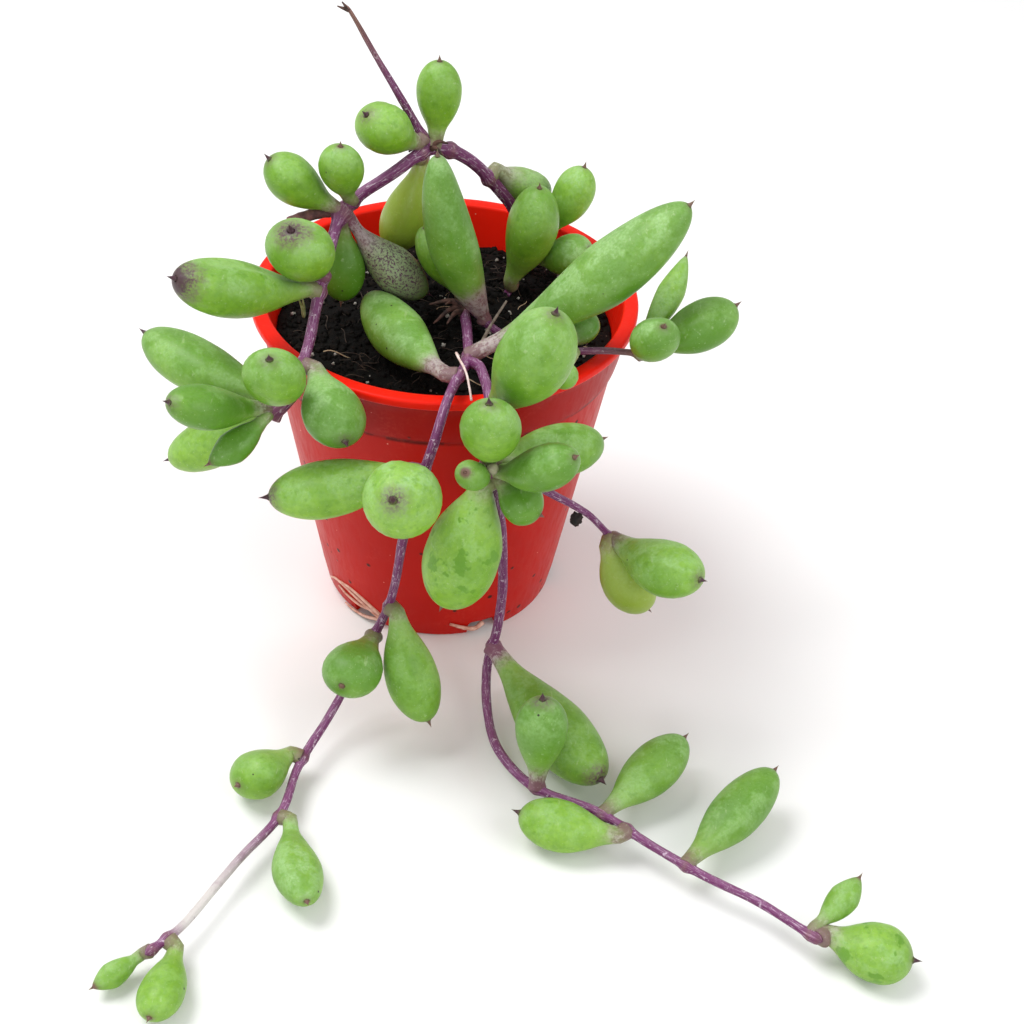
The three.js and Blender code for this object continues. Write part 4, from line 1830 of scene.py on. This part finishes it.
@dataclass
class LooseBits:
    """The small things with no solid of their own: roots, straw, stubs, buds, a sprout and a small leaf.

    Lengths are in mm. The small leaf's ends and the sprout's foot are in rim radii across, and the
    third number of an end is its height in mm above the rim.
    """

    pot: Pot
    plant: Plant
    bend: tuple[float, float, float] = (-14.0, 0.0, 62.5)
    small_leaf_ends: tuple[tuple[float, float, float], ...] = ((0.552, -0.785, 1.92), (0.688, -0.815, 1.62))
    small_leaf_half_width: float = 1.85
    small_leaf_rings: int = 22
    small_leaf_flatness: float = 0.9
    small_leaf_stalk_radius: float = 0.45
    knob_near: tuple[float, float, float] = (8.3, -35.2, 48.0)
    knob_reach: tuple[float, float, float] = (0.6, -3.9, 0.7)
    knob_radius: float = 0.78
    knob_unevenness: float = 0.14
    knob_stalk_radius: float = 0.4
    sprout_foot: tuple[float, float] = (-0.736, 0.0)
    sprout_sunk: float = 0.6
    sprout_radius: float = 0.27

    def on_wall(self, heading: float, height: float, stand: float = 0.12) -> tuple[float, float, float]:
        """Returns a point just off the pot's wall, from a heading in degrees and sizes in mm.

        Args:
            heading: degrees round the pot, from the right.
            height: height above the ground, in mm.
            stand: gap to the wall, in mm.

        Returns:
            The point.
        """
        radius = self.pot.outer(height * MM) + stand * MM
        turn = math.radians(heading)
        return (radius * math.cos(turn), radius * math.sin(turn), height * MM)

    def along(self, node: str, share: float) -> tuple[np.ndarray, float]:
        """Returns the point at a share of a stem's length, and the stem's radius."""
        stem = next(stem for stem in self.plant.stems if stem.node == node)
        return stem.line[int(share * (len(stem.line) - 1))], stem.radius

    def build(self, finishes: Finishes) -> None:
        """Builds every loose bit.

        Args:
            finishes: the built materials.
        """
        wall = self.on_wall
        roots = {
            "foot_root_1": [
                wall(246, 1.4), wall(240, 2.6), wall(232, 3.8), wall(224, 4.6), wall(215, 4.3), wall(207, 2.6)
            ],
            "foot_root_2": [wall(244, 2.6), wall(237, 4.2), wall(228, 5.2), wall(220, 4.9)],
            "foot_root_3": [wall(243, 3.0), wall(233, 2.6), wall(224, 2.8), wall(217, 3.3)],
            "foot_root_5": [wall(244, 1.4), wall(236, 0.8, 0.3), wall(228, 0.5, 0.3), wall(221, 0.6, 0.3)],
            "foot_root_4": [
                wall(296, 1.6, -0.4), wall(291, 1.4, 0.3), wall(285, 2.0, 0.25), wall(279, 3.0, 0.2)
            ],
        }
        for name, points in roots.items():
            Strand(
                name, points, 0.3 * MM if name != "foot_root_4" else 0.42 * MM, 0.5
            ).build(finishes.root, "stem")
        self._stub(finishes)
        self._straw(finishes)
        self._dead_bud(finishes)
        self._small_leaf(finishes)
        self._cluster_knob(finishes)
        self._sprout(finishes)

    def _stub(self, finishes: Finishes) -> None:
        """The broken brown side shoot at the arch's bend, and dry scraps at the top and the crown.

        Args:
            finishes: the built materials.
        """
        arch = next(stem for stem in self.plant.stems if stem.node == "arch_stem")
        foot = arch.line[arch.nearest(np.array(self.bend) * MM)[0]]
        ways = [(0.0, 0.0, 0.0), (-2.6, -0.3, -0.4), (-5.2, -0.7, -1.1), (-7.8, -1.0, -2.1)]
        Strand(
            "arch_stub", [foot + np.array(way) * MM for way in ways], 0.95 * MM, 0.75
        ).build(finishes.twig, "dry_stem")
        top = arch.line[int(arch.line[:, 2].argmax())]
        crown, _ = self.along("left_strand", 0.115)
        scraps = {
            "dry_scrap_1": [
                top, top + np.array([1.2, -0.4, 1.5]) * MM, top + np.array([2.6, -0.8, 1.5]) * MM
            ],
            "dry_scrap_2": [
                top, top + np.array([0.9, -1.2, 0.9]) * MM, top + np.array([2.1, -2.0, 0.2]) * MM
            ],
            "dry_scrap_3": [
                top, top + np.array([-1.6, -0.9, 0.9]) * MM, top + np.array([-2.8, -1.4, 0.2]) * MM
            ],
            "crown_scrap_1": [
                crown, crown + np.array([-1.7, -0.6, 1.0]) * MM, crown + np.array([-4.2, -2.4, -0.6]) * MM
            ],
            "crown_scrap_2": [
                crown, crown + np.array([-1.4, 0.4, 1.6]) * MM, crown + np.array([-2.6, -1.6, 2.2]) * MM
            ],
            "crown_scrap_3": [
                crown, crown + np.array([0.4, 1.1, 1.9]) * MM, crown + np.array([-0.8, 2.6, 3.0]) * MM
            ],
            "crown_scrap_4": [
                crown, crown + np.array([-1.2, -2.0, 1.1]) * MM, crown + np.array([-2.2, -4.6, 0.9]) * MM
            ],
            "crown_scrap_5": [
                crown, crown + np.array([-0.9, 1.4, 2.2]) * MM, crown + np.array([-1.9, 3.2, 3.4]) * MM
            ],
            "crown_scrap_6": [
                crown, crown + np.array([-1.9, -0.2, 1.9]) * MM, crown + np.array([-4.9, -0.9, 1.6]) * MM
            ],
        }
        for name, scrap in scraps.items():
            Strand(
                name, scrap, 0.55 * MM if name.startswith("dry") else 0.62 * MM, 0.2
            ).build(finishes.husk, "dry_stem")
        tip, _ = self.along("dry_stem", 0.965)
        for name, way in (("dry_fork_1", (-0.9, 0.1, 1.1)), ("dry_fork_2", (-1.5, -0.2, 0.6))):
            Strand(
                name, [tip, tip + np.array(way) * 0.5 * MM, tip + np.array(way) * MM], 0.3 * MM, 0.3
            ).build(finishes.husk, "dry_stem")

    def _straw(self, finishes: Finishes) -> None:
        """A straw across the crown, and a white rootlet that hangs towards the rim.

        Args:
            finishes: the built materials.
        """
        crown, _ = self.along("left_strand", 0.154)
        ways = {
            "straw": [(1.1, -10.6, 1.6), (1.7, -9.0, 1.8), (3.3, -2.0, 1.8), (5.3, 5.0, 1.7)],
            "rootlet": [
                (-0.5, -11.4, 3.0), (-0.8, -12.0, 3.9), (-0.3, -13.6, 4.0), (0.3, -15.4, 4.2),
                (0.9, -17.2, 4.0), (1.4, -19.0, 3.0), (1.7, -20.4, 2.3),
            ],
        }
        Strand(
            "straw", [crown + np.array(way) * MM for way in ways["straw"]], 0.3 * MM, 0.6
        ).build(finishes.reed, "dry_stem")
        Strand(
            "rootlet", [crown + np.array(way) * MM for way in ways["rootlet"]], 0.19 * MM, 0.8
        ).build(finishes.rootlet, "stem")

    def _dead_bud(self, finishes: Finishes) -> None:
        """The withered bud that hangs from the side strand.

        Args:
            finishes: the built materials.
        """
        foot, radius = self.along("side_strand", 0.72)
        down = foot + np.array([-0.5, -0.3, -1.3 - 1e3 * radius * 0.3]) * MM
        Strand(
            "dead_bud_stalk", [foot, (foot + down) / 2 + np.array([0.2, 0, 0]) * MM, down], 0.3 * MM, 0.9
        ).build(finishes.bud, "dry_stem")
        work = bmesh.new()
        bmesh.ops.create_icosphere(work, subdivisions=3, radius=1.0)
        for vert in work.verts:
            ragged = 1 + 0.45 * noise.fractal(vert.co * 2.3, 0.8, 2.0, 3)
            vert.co = Vector(down) + Vector(
                (vert.co.x * 0.75, vert.co.y * 0.7, vert.co.z * 1.05)
            ) * ragged * MM
        mesh = bpy.data.meshes.new("dead_bud")
        work.to_mesh(mesh)
        work.free()
        settle(finish_mesh("dead_bud", mesh), finishes.bud, "dry_stem")


    def _small_leaf(self, finishes: Finishes) -> None:
        """The small round leaf that rests on the rim, half under the large leaf at the front right.

        Args:
            finishes: the built materials.
        """
        rim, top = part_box("pot")[1][0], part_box("pot")[1][2]
        start, end = (np.array([x * rim, y * rim, top + z * MM]) for x, y, z in self.small_leaf_ends)
        share = np.linspace(0, 1, self.small_leaf_rings)
        line = start + (end - start) * share[:, None]
        half = self.small_leaf_half_width * MM * np.sqrt(np.clip(1 - (2 * share - 1) ** 2, 0.004, 1))
        length = chord_lengths(line)
        count = np.ones_like(share)
        numbers = {
            "from_root": length,
            "from_tip": length[-1] - length + 2 * MM,
            "along_share": share,
            "tone": count * 0.6,
            "bloom": count * 0.7,
        }
        numbers.update(
            {
                label: count * 0.0
                for label in ("blush", "stalk_reach", "stalk_tint", "freckles", "windows", "yellow", "grit")
            }
        )
        sides, ups = carried_frames(line)
        thick = half * self.small_leaf_flatness
        piece = Skin(line, sides, ups, half, thick, around=24).make("small_rim_leaf", numbers)
        settle(piece, finishes.leaf, "leaf")
        shoot = next(stem for stem in self.plant.stems if stem.node == "right_shoot")
        middle = (start + end) / 2
        joint = shoot.line[shoot.nearest(middle)[0]]
        points = [joint, (joint + middle) / 2, middle]
        stalk = Strand("small_rim_leaf_stalk", points, self.small_leaf_stalk_radius * MM, 0.9)
        stalk.build(finishes.sprout, "stem")

    def _cluster_knob(self, finishes: Finishes) -> None:
        """The dried grey knob on a short stalk in the middle of the right cluster.

        Args:
            finishes: the built materials.
        """
        strand = next(stem for stem in self.plant.stems if stem.node == "right_strand")
        foot = strand.line[strand.nearest(np.array(self.knob_near) * MM)[0]]
        knob = foot + np.array(self.knob_reach) * MM
        points = [foot, (foot + knob) / 2, knob]
        Strand(
            "cluster_knob_stalk", points, self.knob_stalk_radius * MM, 0.9
        ).build(finishes.knob, "dry_stem")
        work = bmesh.new()
        bmesh.ops.create_icosphere(work, subdivisions=3, radius=1.0)
        for vert in work.verts:
            radius = self.knob_radius + self.knob_unevenness * noise.noise(vert.co * 1.7)
            vert.co = Vector(knob) + vert.co * radius * MM
        mesh = bpy.data.meshes.new("cluster_knob")
        work.to_mesh(mesh)
        work.free()
        settle(finish_mesh("cluster_knob", mesh), finishes.knob, "dry_stem")

    def _sprout(self, finishes: Finishes) -> None:
        """Two thin pale green blades that come up out of the soil by the rim on the left.

        Args:
            finishes: the built materials.
        """
        rim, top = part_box("pot")[1][0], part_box("soil")[1][2]
        foot = np.array([self.sprout_foot[0] * rim, self.sprout_foot[1] * rim, top - self.sprout_sunk * MM])
        blades = {"sprout_1": (-0.25, -0.2, 4.1), "sprout_2": (-1.0, 0.1, 3.9)}
        for name, way in blades.items():
            reach = np.array(way) * MM
            bend = np.array([0.2, -0.1, 0.0]) * MM
            points = [foot, foot + reach * 0.5 + bend, foot + reach]
            Strand(name, points, self.sprout_radius * MM, 0.3).build(finishes.sprout, "stem")


# The stage ----------------------------------------------------------------------------------


@dataclass
class Stage:
    """A plain pale floor, soft light and the camera."""

    camera_place: tuple[float, float, float] = (0.0112, -0.2224, 0.1881)
    camera_pitch: float = 38.57
    camera_roll: float = 3.22
    lens: float = 64.4

    def build(self) -> None:
        """Builds the floor, the lights and the camera."""
        self._floor()
        self._lights()
        self._camera()

    @staticmethod
    def _floor() -> None:
        """Lays the floor just under the object."""
        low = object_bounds()[0][2]
        mesh = bpy.data.meshes.new("floor")
        half = 3.0
        mesh.from_pydata(
            [(-half, -half, low), (half, -half, low), (half, half, low), (-half, half, low)], [],
            [(0, 1, 2, 3)],
        )
        floor = bpy.data.objects.new("floor", mesh)
        bpy.context.scene.collection.objects.link(floor)
        material, build, shader, place = start_material("pale_floor")
        cloud = build.noise(place, 6, 2, 0.5)
        tint = build.mix(build.remap(cloud, 0.3, 0.7), colour(0.86, 0.86, 0.86), colour(0.9, 0.9, 0.9))
        build.tree.links.new(tint, shader.inputs["Base Color"])
        shader.inputs["Roughness"].default_value = 0.9
        mesh.materials.append(material)
        floor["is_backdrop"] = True

    @staticmethod
    def _lights() -> None:
        """Sets the sky and three soft panels."""
        world = bpy.data.worlds.new("soft_sky")
        world.use_nodes = True
        background = world.node_tree.nodes["Background"]
        background.inputs["Color"].default_value = (1.0, 1.0, 1.0, 1.0)
        background.inputs["Strength"].default_value = 0.6
        bpy.context.scene.world = world
        panels = {
            "key_panel": ((-0.3, 0.05, 0.62), 0.42, 3.4),
            "fill_panel": ((0.5, -0.3, 0.45), 0.5, 1.5),
            "front_panel": ((-0.1, -0.7, 0.42), 0.5, 1.1),
        }
        for name, (place, size, power) in panels.items():
            light = bpy.data.lights.new(name, "AREA")
            light.shape = "DISK"
            light.size = size
            light.energy = power
            lamp = bpy.data.objects.new(name, light)
            lamp.location = place
            aim = Vector((0.0, -0.03, 0.03)) - Vector(place)
            lamp.rotation_euler = aim.to_track_quat("-Z", "Y").to_euler()
            bpy.context.scene.collection.objects.link(lamp)

    def _camera(self) -> None:
        """Sets the camera on the pot from the front and above."""
        pitch, roll = math.radians(self.camera_pitch), math.radians(self.camera_roll)
        forward = Vector((0, math.cos(pitch), -math.sin(pitch)))
        right = Vector((1, 0, 0))
        up = right.cross(forward)
        level_right = right * math.cos(roll) + up * math.sin(roll)
        level_up = up * math.cos(roll) - right * math.sin(roll)
        turn = Matrix((level_right, level_up, -forward)).transposed().to_4x4()
        data = bpy.data.cameras.new("camera")
        data.lens = self.lens
        data.sensor_width = 36.0
        data.clip_start = 0.005
        camera = bpy.data.objects.new("camera", data)
        camera.matrix_world = Matrix.Translation(self.camera_place) @ turn
        bpy.context.scene.collection.objects.link(camera)
        bpy.context.scene.camera = camera
        bpy.context.scene.view_settings.view_transform = "Standard"


def main() -> None:
    """Builds every piece in order."""
    logging.basicConfig(level=logging.INFO, format="%(name)s %(message)s")
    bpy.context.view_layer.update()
    finishes = Finishes.make()
    Stage().build()
    pot = Pot()
    pot.build(finishes)
    soil = Soil().build(finishes)
    plant = Plant()
    plant.build(finishes)
    LooseBits(pot, plant).build(finishes)
    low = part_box("soil")[1][2] - GRAIN_REACH
    grains = (
        (Scatter("peat_crumbs", GrainShape.CRUMB, 800000.0, 0.95 * MM, 11, low), finishes.soil),
        (Scatter("peat_fibres", GrainShape.FIBRE, 110000.0, 2.6 * MM, 23, low, 0.2 * MM), finishes.fibre),
        (Scatter("pale_straws", GrainShape.FIBRE, 9000.0, 3.2 * MM, 37, low, 0.45 * MM), finishes.straw),
        (Scatter("perlite", GrainShape.CRUMB, 42000.0, 0.55 * MM, 41, low, 0.3 * MM), finishes.perlite),
    )
    for scatter, finish in grains:
        scatter.build(soil, finish, "soil")


if __name__ == "__main__":
    main()
